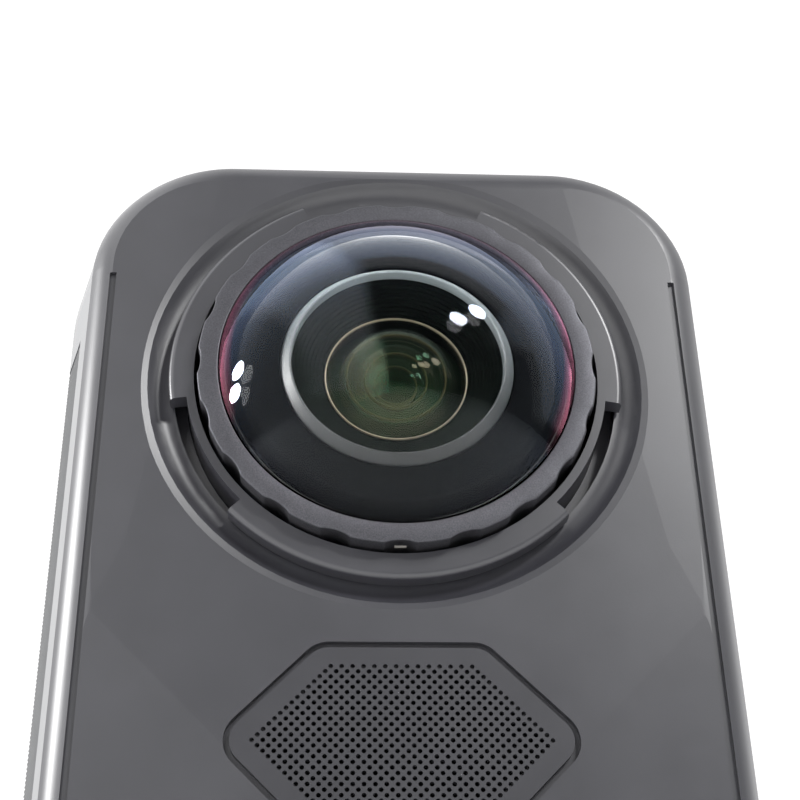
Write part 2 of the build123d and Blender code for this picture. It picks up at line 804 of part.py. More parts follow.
def make_collar(side):
    """Bayonet collar round a lens: flange under the shell, neck through it, and three lugs."""
    with BuildPart(mode=Mode.PRIVATE) as collar:
        with BuildSketch(face_plane(side, bowl_underside - flange_thickness)):
            with Locations((0, lens_z)):
                Circle(flange_radius)
                Circle(collar_bore, mode=Mode.SUBTRACT)
        extrude(amount=flange_thickness)
        with BuildSketch(face_plane(side, bowl_underside)):
            with Locations((0, lens_z)):
                Circle(collar_neck_radius)
                Circle(collar_bore, mode=Mode.SUBTRACT)
        extrude(amount=collar_top - bowl_underside)
        for first, last in lug_arcs:
            middle = (collar_bore + collar_neck_radius) / 2
            with BuildSketch(face_plane(side, collar_top - lug_thickness)):
                with BuildLine(Location((0, lens_z))):
                    CenterArc((0, 0), collar_lug_radius, first, last - first)
                    CenterArc((0, 0), middle, first, last - first)
                    Line(PolarLine((0, 0), middle, first, mode=Mode.PRIVATE) @ 1,
                         PolarLine((0, 0), collar_lug_radius, first, mode=Mode.PRIVATE) @ 1)
                    Line(PolarLine((0, 0), middle, last, mode=Mode.PRIVATE) @ 1,
                         PolarLine((0, 0), collar_lug_radius, last, mode=Mode.PRIVATE) @ 1)
                make_face()
            extrude(amount=lug_thickness)
        outer_edges = [edge for edge in collar.edges().filter_by(GeomType.CIRCLE)
                       if abs(edge.radius - collar_lug_radius) < fit_gap / 2
                       and abs(abs(edge.center().Y) - collar_top) < fit_gap / 2]
        fillet(outer_edges, lug_edge_round)
        # screw holes of the lens barrel
        with BuildSketch(face_plane(side, bowl_underside - flange_thickness - overrun)):
            with Locations((0, lens_z)):
                with PolarLocations(screw_circle, barrel_screw_count, start_angle=first_screw_angle):
                    Circle(screw_shank + screw_hole_gap)
        extrude(amount=flange_thickness + 2 * overrun, mode=Mode.SUBTRACT)
    return collar.part


def make_barrel(side):
    """Lens barrel: foot on the sensor board, clamping flange, threaded head, and its stepped bore."""
    rear_bore = rear_radius + fit_gap
    front_bore = inner_ring_radius
    rear_shelf = rear_foot + rear_edge
    foot = bulkhead_half + board_thickness
    outline = [(sensor_cave_radius, foot), (barrel_radius, foot), (barrel_radius, barrel_flange_low),
               (flange_radius, barrel_flange_low), (flange_radius, barrel_flange_low + flange_thickness),
               (barrel_head_radius, barrel_flange_low + flange_thickness), (barrel_head_radius, barrel_seat),
               (front_bore + fit_gap, barrel_seat), (front_bore + fit_gap, cone_foot),
               (rear_bore, cone_foot), (rear_bore, rear_foot), (stop_radius, rear_foot),
               (stop_radius, sensor_cave_end), (sensor_cave_radius, sensor_cave_end)]
    with BuildPart(mode=Mode.PRIVATE) as barrel:
        add(turned(outline, side))
        with BuildSketch(face_plane(side, barrel_flange_low - overrun)):
            with Locations((0, lens_z)):
                with PolarLocations(screw_circle, barrel_screw_count, start_angle=first_screw_angle):
                    Circle(screw_shank + screw_hole_gap)
        extrude(amount=flange_thickness + overrun + fit_gap, mode=Mode.SUBTRACT)
    return barrel.part


def sphere_point(radius, sphere):
    """Section point of a dome surface of the given sphere radius, at a distance from the lens axis."""
    return (radius, dome_centre + sqrt(sphere ** 2 - radius ** 2))


def make_dome(side):
    """Domed cover glass: two spheres of one centre, with a plain cylindrical rim."""
    outer_top, inner_top = sphere_point(0, dome_radius), sphere_point(0, inner_sphere)
    outer_foot, inner_foot = sphere_point(dome_rim_radius, dome_radius), (inner_rim, dome_rim_depth)
    with BuildPart(mode=Mode.PRIVATE) as dome:
        with BuildSketch(section_plane(side)):
            with BuildLine():
                ThreePointArc(outer_top, sphere_point(dome_rim_radius / 2, dome_radius), outer_foot)
                Polyline(outer_foot, (dome_rim_radius, dome_rim_depth), inner_foot)
                ThreePointArc(inner_foot, sphere_point(inner_rim / 2, inner_sphere), inner_top)
                Line(inner_top, outer_top)
            make_face()
        revolve(axis=lens_axis(side))
    return dome.part


def make_ring(side):
    """Screwed ring round the dome glass: a thin top, a threaded skirt and scallops round the edge."""
    skirt_bore = ring_radius - ring_skirt_wall
    top = dome_edge_depth
    top_inside = top - ring_top_thickness
    outline = [(ring_bore, top_inside), (ring_bore, top), (ring_radius - ring_edge_chamfer, top),
               (ring_radius, top - ring_edge_chamfer), (ring_radius, ring_skirt_end),
               (skirt_bore, ring_skirt_end), (skirt_bore, top_inside)]
    with BuildPart(mode=Mode.PRIVATE) as ring:
        add(turned(outline, side))
        with BuildSketch(face_plane(side, ring_skirt_end - overrun)):
            with Locations((0, lens_z)):
                with PolarLocations(ring_radius + scallop_radius - scallop_depth, scallop_count,
                                    start_angle=180 / scallop_count):
                    Circle(scallop_radius)
        extrude(amount=top - ring_skirt_end + 2 * overrun, mode=Mode.SUBTRACT)
    return ring.part


def make_cone(side):
    """Blackened baffle with fine steps that narrow to the second lens element."""
    top = inner_ring_top - inner_ring_thickness
    mouth = inner_ring_radius - inner_ring_width
    bore = second_radius + fit_gap
    tread, rise = (mouth - cone_mouth_radius) / cone_steps, (top - cone_mouth_depth) / cone_steps
    outline = [(inner_ring_radius, cone_foot), (inner_ring_radius, top), (mouth, top)]
    for step in range(1, cone_steps + 1):
        level = top - step * rise
        outline += [(mouth - (step - 1) * tread, level), (mouth - step * tread, level)]
    outline += [(bore, cone_mouth_depth), (bore, cone_foot)]
    return turned(outline, side)


def make_lens(side, radius, foot, edge, sag):
    """A lens element with a plain rim, flat at the back and domed at the front."""
    top = foot + edge
    sphere = (radius ** 2 + sag ** 2) / (2 * sag)
    middle = radius / 2
    with BuildPart(mode=Mode.PRIVATE) as element:
        with BuildSketch(section_plane(side)):
            with BuildLine():
                Polyline((0, foot), (radius, foot), (radius, top))
                ThreePointArc((radius, top), (middle, top + sag - sphere + sqrt(sphere ** 2 - middle ** 2)),
                              (0, top + sag))
                Line((0, top + sag), (0, foot))
            make_face()
        revolve(axis=lens_axis(side))
    return element.part


def make_baffle(side):
    """Black annulus that shows under the dome, sloped outside to clear the glass."""
    bore, edge = inner_ring_radius + fit_gap, inner_rim - baffle_rim_gap
    top = sphere_point(baffle_top_radius, inner_sphere)[1] - baffle_dome_gap
    return turned([(bore, barrel_seat), (edge, barrel_seat), (edge, dome_rim_depth),
                   (baffle_top_radius, top), (bore, top)], side)


def make_inner_ring(side):
    """Pale ring round the mouth of the baffle, bevelled so that it falls outwards."""
    foot = inner_ring_top - inner_ring_thickness
    inner = inner_ring_radius - inner_ring_width
    return turned([(inner, foot), (inner_ring_radius, foot), (inner_ring_radius, foot + inner_ring_lip),
                   (inner, inner_ring_top)], side)


def make_seal(side):
    """Soft ring that the dome glass presses on the barrel."""
    outer = dome_rim_radius - fit_gap
    return turned([(outer - seal_width, barrel_seat + fit_gap), (outer, barrel_seat + fit_gap),
                   (outer, dome_rim_depth), (outer - seal_width, dome_rim_depth)], side)


def upright_block(side, foot, thickness, width, height, z):
    """A plain block on one side of the middle plane."""
    with BuildPart(mode=Mode.PRIVATE) as block:
        with BuildSketch(face_plane(side, foot)):
            with Locations((0, z)):
                Rectangle(width, height)
        extrude(amount=thickness)
    return block.part


# Everything that belongs to a lens, once for each side
for side_name, side in lens_sides:
    keep(make_collar(side), side_name + "_bayonet_collar")
    keep(make_barrel(side), side_name + "_lens_barrel")
    keep(make_dome(side), side_name + "_dome_glass")
    keep(make_seal(side), side_name + "_dome_seal")
    keep(make_ring(side), side_name + "_lens_ring")
    keep(make_baffle(side), side_name + "_front_baffle")
    keep(make_inner_ring(side), side_name + "_inner_ring")
    keep(make_cone(side), side_name + "_stepped_cone")
    second_foot = cone_foot + fit_gap
    second_rim = second_rim_depth - second_foot
    keep(make_lens(side, second_radius, second_foot, second_rim, second_sag), side_name + "_second_element")

with BuildPart() as rear_elements:
    for name, side in lens_sides:
        add(make_lens(side, rear_radius, rear_foot + fit_gap, rear_edge, rear_sag))
keep(rear_elements.part, "rear_elements")

sensor_foot = bulkhead_half + board_thickness
with BuildPart() as image_sensors:
    for name, side in lens_sides:
        with BuildSketch(face_plane(side, sensor_foot)):
            with Locations((0, lens_z)):
                Rectangle(sensor_size, sensor_size)
        extrude(amount=sensor_thickness)
keep(image_sensors.part, "image_sensors")

with BuildPart() as sensor_boards:
    for name, side in lens_sides:
        with BuildSketch(face_plane(side, bulkhead_half)):
            with Locations((0, lens_z)):
                Rectangle(sensor_board_size, sensor_board_size)
        extrude(amount=board_thickness)
keep(sensor_boards.part, "sensor_boards")

# Screws that clamp each barrel and collar to its shell, from inside
shank_length = bowl_underside + screw_bite - barrel_flange_low
screw_steps = ((barrel_flange_low - screw_head_height, screw_head_height, screw_head),
               (barrel_flange_low, shank_length, screw_shank))
with BuildPart() as barrel_screws:
    for name, side in lens_sides:
        for foot, height, radius in screw_steps:
            with BuildSketch(face_plane(side, foot)):
                with Locations((0, lens_z)):
                    with PolarLocations(screw_circle, barrel_screw_count, start_angle=first_screw_angle):
                        Circle(radius)
            extrude(amount=height)
keep(barrel_screws.part, "barrel_screws")

# Touchscreen: cover glass and the display bonded behind it
with BuildPart() as touch_glass:
    with BuildSketch(face_plane(SCREEN, glass_inner)):
        with Locations((0, glass_middle)):
            RectangleRounded(2 * glass_half_width, glass_height, glass_corner)
    extrude(amount=glass_thickness)
keep(touch_glass.part, "touch_glass")

keep(upright_block(SCREEN, glass_inner - display_thickness, display_thickness, 2 * display_half_width,
                   display_height, display_middle), "display_panel")

# Shutter and lens keys under the touchscreen: cap, flange behind the shell, and stem
for name, x, radius in keys:
    with BuildPart() as key:
        with BuildSketch(face_plane(SCREEN, key_flange_top)):
            with Locations((x, key_z)):
                Circle(radius)
        extrude(amount=face_depth + key_proud - key_flange_top)
        fillet(key.edges().filter_by(GeomType.CIRCLE).sort_by(Axis.Y)[-1], edge_round)
        with BuildSketch(face_plane(SCREEN, key_flange_top - key_flange)):
            with Locations((x, key_z)):
                Circle(radius + key_flange_lap)
        extrude(amount=key_flange)
        with BuildSketch(face_plane(SCREEN, key_flange_top - key_flange - key_stem_length)):
            with Locations((x, key_z)):
                Circle(key_stem_radius)
        extrude(amount=key_stem_length)
    keep(key.part, name)

with BuildPart() as key_switches:
    with BuildSketch(face_plane(SCREEN, key_board_outer)):
        with Locations(*[(x, key_z) for name, x, radius in keys]):
            Rectangle(switch_size, switch_size)
    extrude(amount=key_switch_height)
keep(key_switches.part, "key_switches")

keep(upright_block(SCREEN, key_board_inner, key_board_thickness, 2 * key_board_half_width,
                   key_board_high - key_board_low, (key_board_low + key_board_high) / 2), "key_board")

# Window of the status light, flanged behind the shell
window_flange_top = shell_foot - glue_gap
with BuildPart() as status_window:
    with BuildSketch(face_plane(SCREEN, window_flange_top - window_flange)):
        with Locations((0, window_z)):
            Circle(window_radius + window_lap)
    extrude(amount=window_flange)
    with BuildSketch(face_plane(SCREEN, window_flange_top)):
        with Locations((0, window_z)):
            Circle(window_radius)
    extrude(amount=glass_outer - window_flange_top)
keep(status_window.part, "status_window")

# Heat spreader against the battery sleeve, main board on it, and the chips
main_board_half_width = cavity_half_width - main_board_side_gap
spreader_half_width = main_board_half_width - spreader_side_margin
spreader_high = lens_z - spreader_high_below_lens
spreader_middle = (spreader_low + spreader_high) / 2
keep(upright_block(GRILLE, bay_sleeve_depth, spreader_thickness, 2 * spreader_half_width,
                   spreader_high - spreader_low, spreader_middle), "heat_spreader")
board_foot = bay_sleeve_depth + spreader_thickness
board_height = spreader_high - spreader_low + 2 * main_board_margin
keep(upright_block(GRILLE, board_foot, board_thickness, 2 * main_board_half_width, board_height,
                   spreader_middle), "main_board")
with BuildPart() as main_chips:
    with BuildSketch(face_plane(GRILLE, board_foot + board_thickness)):
        for x, share, width, height in chips:
            with Locations((x, spreader_middle + share * (spreader_high - spreader_low))):
                Rectangle(width, height)
    extrude(amount=chip_height)
keep(main_chips.part, "main_chips")

with BuildPart() as microphones:
    with BuildSketch(Plane.XY.offset(body_height - cavity_inset - mic_height)):
        with GridLocations(2 * mic_x, 2 * mic_depth, 2, 2):
            Rectangle(mic_width, mic_length)
    extrude(amount=mic_height)
keep(microphones.part, "microphones")

# Base plate with two keyways, its countersunk screws, and the tripod socket
key_slot_x = base_half_width * key_slot_share
with BuildPart() as base_plate:
    with BuildSketch(Plane.XY):
        RectangleRounded(2 * base_half_width, 2 * base_half_depth, base_corner)
    extrude(amount=base_thickness)
    chamfer(base_plate.faces().sort_by(Axis.Z)[0].edges(), edge_round)
    with BuildSketch(Plane.XY):
        Circle(socket_radius + fit_gap)
    extrude(amount=base_thickness, mode=Mode.SUBTRACT)
    with BuildSketch(Plane.XY):
        with Locations((-key_slot_x, 0), (key_slot_x, 0)):
            SlotOverall(key_slot_length, key_slot_width, rotation=90)
    extrude(amount=key_slot_depth, mode=Mode.SUBTRACT)
    with Locations(Plane.XY.rotated((180, 0, 0))):
        with GridLocations(2 * base_screw_x, 2 * base_screw_y, 2, 2):
            CounterSinkHole(base_screw_shank + screw_hole_gap, base_screw_head + screw_hole_gap,
                            depth=base_thickness, counter_sink_angle=90)
keep(base_plate.part, "base_plate")

head_taper = base_screw_head - base_screw_shank
screw_tip = base_thickness + base_screw_bite
with BuildPart(mode=Mode.PRIVATE) as base_screw:
    with BuildSketch(Plane.XZ):
        with BuildLine():
            Polyline((0, fit_gap), (base_screw_head - fit_gap, fit_gap), (base_screw_shank, head_taper),
                     (base_screw_shank, screw_tip), (0, screw_tip), close=True)
        make_face()
    revolve(axis=Axis.Z)
with BuildPart() as base_screws:
    with GridLocations(2 * base_screw_x, 2 * base_screw_y, 2, 2):
        add(base_screw.part)
keep(base_screws.part, "base_screws")

socket_flange_foot = cavity_floor + glue_gap
with BuildPart() as tripod_socket:
    with BuildSketch(Plane.XY.offset(socket_sink)):
        Circle(socket_radius)
    extrude(amount=socket_top - socket_sink)
    with BuildSketch(Plane.XY.offset(socket_flange_foot)):
        Circle(socket_flange_radius)
    extrude(amount=socket_flange_thickness)
    with BuildSketch(Plane.XY.offset(socket_sink)):
        Circle(thread_radius)
    extrude(amount=thread_depth, mode=Mode.SUBTRACT)
keep(tripod_socket.part, "tripod_socket")

# Side buttons: a pill cap through the grip and the frame, and a flange inside
for name, z in side_buttons:
    with BuildPart() as button:
        with BuildSketch(left_plane(side_flange_outer)):
            add(side_slot(side_button_length, side_button_width, z, 0))
        extrude(amount=half_width - side_button_sink - side_flange_outer)
        fillet(button.faces().sort_by(Axis.X)[0].edges(), edge_round)
        with BuildSketch(left_plane(side_flange_outer - button_flange)):
            add(side_slot(side_button_length, side_button_width, z, flange_lap))
        extrude(amount=button_flange)
    keep(button.part, name)

# Switches under the side buttons, on one strip
with BuildPart() as side_switch_strip:
    with BuildSketch(left_plane(side_flex_inner)):
        with Locations((0, (power_button_z + quick_button_z) / 2)):
            Rectangle(2 * switch_rest_half_depth, power_button_z - quick_button_z + 2 * switch_rest_margin)
    extrude(amount=switch_flex)
    with BuildSketch(left_plane(side_flex_outer)):
        with Locations((0, power_button_z), (0, quick_button_z)):
            Rectangle(switch_size, switch_size)
    extrude(amount=switch_height)
keep(side_switch_strip.part, "side_switch_strip")

# Charging connector: a hollow shell with a tongue, on its small board
with BuildPart() as usb_connector:
    with BuildSketch(left_plane(usb_inner_end)):
        add(side_slot(usb_width, usb_height, usb_z, 0))
    extrude(amount=usb_outer_end - usb_inner_end)
    with BuildSketch(left_plane(usb_outer_end - usb_mouth_depth)):
        add(side_slot(usb_width, usb_height, usb_z, -usb_wall))
    extrude(amount=usb_mouth_depth, mode=Mode.SUBTRACT)
    with BuildSketch(left_plane(usb_outer_end - usb_mouth_depth - fit_gap)):
        with Locations((0, usb_z)):
            Rectangle(usb_tongue_thickness, usb_tongue_width)
    extrude(amount=usb_mouth_depth - usb_tongue_thickness)
keep(usb_connector.part, "usb_connector")

with BuildPart() as usb_board:
    with BuildSketch(left_plane(-sleeve_back)):
        with Locations((0, usb_z)):
            Rectangle(2 * usb_board_half_depth, usb_board_height)
    extrude(amount=usb_board_thickness)
keep(usb_board.part, "usb_board")

# Connector door with its hinge knuckle, seal, sliding latch and hinge pin
door_latch_floor = half_width - door_latch_floor_inset
door_latch_face = half_width - door_latch_sink
latch_pocket_length = door_latch_length + door_latch_travel + 2 * latch_gap
with BuildPart() as usb_door:
    add(full_block)
    add(box_between((-half_width, -door_inner), (-door_edge, hinge_y), (door_low, door_high)),
        mode=Mode.INTERSECT)
    with BuildSketch(Plane.XY.offset(door_low)):
        with Locations((-hinge_x, hinge_y)):
            Circle(knuckle_radius)
    extrude(amount=door_high - door_low)
    with BuildSketch(Plane.XY.offset(door_low)):
        with Locations((-hinge_x, hinge_y)):
            Circle(pin_radius + pin_running_gap)
    extrude(amount=door_high - door_low, mode=Mode.SUBTRACT)
    latch_half = door_latch_width / 2 + latch_gap
    add(box_between((-half_width - overrun, -door_latch_floor),
                    (-door_latch_middle - latch_half, -door_latch_middle + latch_half),
                    (door_latch_low - latch_gap, door_latch_low - latch_gap + latch_pocket_length)),
        mode=Mode.SUBTRACT)
keep(usb_door.part, "usb_door")

seal_low, seal_high = door_low + door_seal_margin, door_high - door_seal_margin
seal_first, seal_last = -door_edge + door_seal_margin, door_seal_hinge_side
with BuildPart() as door_seal:
    with BuildSketch(left_plane(door_inner - door_seal_thickness)):
        with Locations((-(seal_first + seal_last) / 2, (seal_low + seal_high) / 2)):
            Rectangle(seal_last - seal_first, seal_high - seal_low)
            Rectangle(seal_last - seal_first - 2 * door_seal_band, seal_high - seal_low - 2 * door_seal_band,
                      mode=Mode.SUBTRACT)
    extrude(amount=door_seal_thickness)
keep(door_seal.part, "door_seal")

with BuildPart() as door_latch:
    with BuildSketch(left_plane(door_latch_floor + fit_gap)):
        with Locations((door_latch_middle, door_latch_low + door_latch_length / 2)):
            Rectangle(door_latch_width, door_latch_length)
    extrude(amount=door_latch_face - door_latch_floor - fit_gap)
    chamfer(door_latch.faces().sort_by(Axis.X)[0].edges(), edge_round / 2)
keep(door_latch.part, "door_latch")

with BuildPart() as hinge_pin:
    with BuildSketch(Plane.XY.offset(door_low - pin_bite + fit_gap)):
        with Locations((-hinge_x, hinge_y)):
            Circle(pin_radius)
    extrude(amount=door_high - door_low + 2 * (pin_bite - fit_gap))
keep(hinge_pin.part, "hinge_pin")

# Battery pack, its outer cover and the seal behind the cover
pack_back = bay_back + contact_thickness + battery_gap
with BuildPart() as battery_pack:
    with BuildSketch(Plane.YZ.offset(pack_back)):
        with Locations((0, (bay_low + bay_high) / 2)):
            RectangleRounded(2 * (bay_half_depth - battery_gap), bay_high - bay_low - 2 * battery_gap,
                             battery_edge)
    extrude(amount=cover_inner - pack_back)
keep(battery_pack.part, "battery_pack")

with BuildPart() as battery_cover:
    add(grip_block)
    add(box_between((cover_inner, half_width), (-cover_half_depth, cover_half_depth),
                    (cover_low, cover_high)), mode=Mode.INTERSECT)
keep(battery_cover.part, "battery_cover")

with BuildPart() as cover_seal:
    with BuildSketch(Plane.YZ.offset(cover_inner - cover_seal_thickness)):
        with Locations((0, (cover_low + cover_high) / 2)):
            Rectangle(2 * (cover_half_depth - cover_gap), cover_high - cover_low - 2 * cover_gap)
            Rectangle(2 * (cover_half_depth - cover_gap - cover_seal_width),
                      cover_high - cover_low - 2 * (cover_gap + cover_seal_width), mode=Mode.SUBTRACT)
    extrude(amount=cover_seal_thickness)
keep(cover_seal.part, "cover_seal")

with BuildPart() as battery_contacts:
    with BuildSketch(Plane.YZ.offset(bay_back)):
        with Locations((0, (bay_low + bay_high) / 2)):
            Rectangle(2 * contact_half_depth, contact_height)
    extrude(amount=contact_thickness)
keep(battery_contacts.part, "battery_contacts")

# Battery latch: thumb piece, stem through the wall and foot inside
latch_y = -latch_travel / 2
latch_wall = cavity_half_width - latch_gap
latch_face = half_width - latch_sink
with BuildPart() as battery_latch:
    with BuildSketch(Plane.YZ.offset(cover_inner + fit_gap)):
        with Locations((latch_y, latch_middle)):
            Rectangle(latch_length, latch_height)
    extrude(amount=latch_face - cover_inner - fit_gap)
    chamfer(battery_latch.faces().sort_by(Axis.X)[-1].edges(), edge_round)
    with BuildSketch(Plane.YZ.offset(latch_wall)):
        with Locations((latch_y, latch_middle)):
            Rectangle(latch_stem_length, latch_stem_height)
    extrude(amount=cover_inner + 2 * fit_gap - latch_wall)
    with BuildSketch(Plane.YZ.offset(latch_wall - latch_foot_thickness)):
        with Locations((latch_y, latch_middle)):
            Rectangle(latch_stem_length + 2 * latch_foot_margin, latch_stem_height + 2 * latch_foot_margin)
    extrude(amount=latch_foot_thickness)
keep(battery_latch.part, "battery_latch")

# Memory card and its spring socket, beside the battery
socket_height = card_chamber_height - battery_gap
card_z = card_chamber_low + socket_height / 2
with BuildPart() as memory_card:
    with BuildSketch(Plane.YZ.offset(card_inner_end)):
        with Locations((0, card_z)):
            Rectangle(card_width, card_thickness)
    extrude(amount=card_length)
keep(memory_card.part, "memory_card")

with BuildPart() as card_socket:
    with BuildSketch(Plane.YZ.offset(socket_inner_end)):
        with Locations((0, card_z)):
            Rectangle(2 * (bay_half_depth - card_gap), socket_height)
    extrude(amount=half_width - card_socket_inset - socket_inner_end)
    with BuildSketch(Plane.YZ.offset(socket_slot_end)):
        with Locations((0, card_z)):
            Rectangle(card_width + card_gap, card_thickness + 2 * card_gap)
    extrude(amount=card_length + card_push + overrun, mode=Mode.SUBTRACT)
keep(card_socket.part, "card_socket")
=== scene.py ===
"""The dressed model of a pocket 360 degree camera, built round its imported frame.

Sizes are millimetres in the fields and metres in the meshes. X is the camera's width, Y its depth and Z is up.
Depths are counted outwards from the middle plane of the body, the same for both lens sides. A noise is given by its
detail and its roughness.
"""

import functools
import logging
import math
from dataclasses import dataclass, field
from enum import Enum
from typing import Callable, Sequence

import bmesh
import bpy
from bpy.types import Material, Mesh, Node, NodeSocket, NodeTree, Object
from mathutils import Matrix, Vector


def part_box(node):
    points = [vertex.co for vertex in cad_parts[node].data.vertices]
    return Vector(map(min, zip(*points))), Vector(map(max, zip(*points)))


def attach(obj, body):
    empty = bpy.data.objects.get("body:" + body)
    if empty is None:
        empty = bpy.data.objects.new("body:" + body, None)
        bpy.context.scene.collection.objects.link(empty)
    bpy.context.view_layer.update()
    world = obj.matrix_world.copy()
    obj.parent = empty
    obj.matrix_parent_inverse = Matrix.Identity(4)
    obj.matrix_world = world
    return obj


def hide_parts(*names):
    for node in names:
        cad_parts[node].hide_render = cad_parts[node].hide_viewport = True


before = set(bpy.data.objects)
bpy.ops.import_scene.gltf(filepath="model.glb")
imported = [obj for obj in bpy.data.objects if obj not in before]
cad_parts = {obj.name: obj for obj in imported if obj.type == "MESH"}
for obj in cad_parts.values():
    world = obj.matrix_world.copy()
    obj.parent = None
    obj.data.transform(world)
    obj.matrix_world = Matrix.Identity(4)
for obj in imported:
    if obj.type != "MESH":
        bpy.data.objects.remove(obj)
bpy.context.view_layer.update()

MM = 0.001
LENS_HEIGHT = 104.1
NOISE_SPREAD = (0.3, 0.7)
WANDER_NOISE = (4.0, 0.6)
SPECK_NOISE = (3.0, 0.8)
FIRST_BOUNCE = 0.5
LOG = logging.getLogger("camera")
Point2 = tuple[float, float]
Point3 = tuple[float, float, float]
Stops = tuple[tuple[float, Point3], ...]
Reach = Callable[[float, float, float], float]


class Side(Enum):
    """The two broad faces, by the sign of their outward Y."""

    GRILLE = -1
    SCREEN = 1

    @property
    def prefix(self) -> str:
        """The first word of the names of this side's nodes."""
        return self.name.lower()


class Grain(Enum):
    """The kinds of fine surface relief."""

    MOULDED = "moulded"
    BLASTED = "blasted"
    BRUSHED = "brushed"
    NONE = "none"

    @property
    def noise(self) -> Point2:
        """The noise that the relief follows."""
        return (6.0 if self is Grain.BLASTED else 2.0), 0.7


@dataclass(frozen=True)
class NodeGraph:
    """A short way to add and link shader nodes in one material, lamp or world."""

    tree: NodeTree

    def feed(self, target: NodeSocket, value: object) -> None:
        """Link a value to an input, or set the input to it.

        Args:
            target: The input.
            value: A socket, or a plain value.
        """
        if isinstance(value, NodeSocket):
            self.tree.links.new(value, target)
        else:
            target.default_value = value

    def fit(self, node: Node, **values: object) -> Node:
        """Set up a node.

        Args:
            node: The node.
            values: Its attributes, or what its inputs get, by name with spaces as underscores.

        Returns:
            The same node.
        """
        for key, value in values.items():
            if hasattr(node, key):
                setattr(node, key, value)
            else:
                self.feed(node.inputs[key.replace("_", " ")], value)
        return node

    def add(self, kind: str, **values: object) -> Node:
        """Add a node of a kind, given without its ShaderNode prefix, and set it up."""
        return self.fit(self.tree.nodes.new("ShaderNode" + kind), **values)

    def math(self, operation: str, *terms: object, kind: str = "Math", output: str = "Value") -> NodeSocket:
        """Work something out.

        Args:
            operation: The node's operation.
            terms: What its inputs get, in their order.
            kind: The node's type.
            output: The output that holds the result.

        Returns:
            The result.
        """
        node = self.add(kind, operation=operation)
        for target, term in zip(node.inputs, terms):
            self.feed(target, term)
        return node.outputs[output]

    def vector(self, operation: str, *terms: object) -> NodeSocket:
        """Work out a vector or a colour."""
        return self.math(operation, *terms, kind="VectorMath", output="Vector")

    def mapped(self, source: NodeSocket, low: float, high: float, first: float = 0.0, last: float = 1.0,
               shape: str = "LINEAR") -> NodeSocket:
        """Map a value that runs from low to high onto one that runs from first to last, and stays there."""
        return self.add("MapRange", interpolation_type=shape, Value=source, From_Min=low, From_Max=high,
                        To_Min=first, To_Max=last).outputs["Result"]

    def noise(self, place: NodeSocket, size: float, detail: float, roughness: float) -> NodeSocket:
        """A cloudy pattern of a size in millimetres."""
        return self.add("TexNoise", Vector=place, Scale=1 / (size * MM), Detail=detail,
                        Roughness=roughness).outputs["Fac"]

    def ramp(self, source: NodeSocket, stops: Stops) -> NodeSocket:
        """Run a colour through stops as a value rises.

        Args:
            source: The value.
            stops: Places from 0 to 1, each with its colour.

        Returns:
            The colour.
        """
        node = self.add("ValToRGB", Fac=source)
        elements = node.color_ramp.elements
        while len(elements) < len(stops):
            elements.new(0.5)
        for element, (position, colour) in zip(elements, stops):
            element.position, element.color = position, (*colour, 1.0)
        return node.outputs["Color"]


@dataclass(frozen=True)
class Surface:
    """A named finish, which becomes a node material when it is first asked for."""

    name: str

    @functools.cache
    def material(self) -> Material:
        """Build the node material, once.

        Returns:
            The material.
        """
        material = bpy.data.materials.new(self.name)
        material.use_nodes = True
        graph = NodeGraph(material.node_tree)
        self.paint(graph, graph.tree.nodes["Principled BSDF"], graph.add("TexCoord").outputs["Object"])
        return material

    def paint(self, graph: NodeGraph, shader: Node, place: NodeSocket) -> None:
        """Set up the Principled node on the piece's own coordinates."""
        raise NotImplementedError


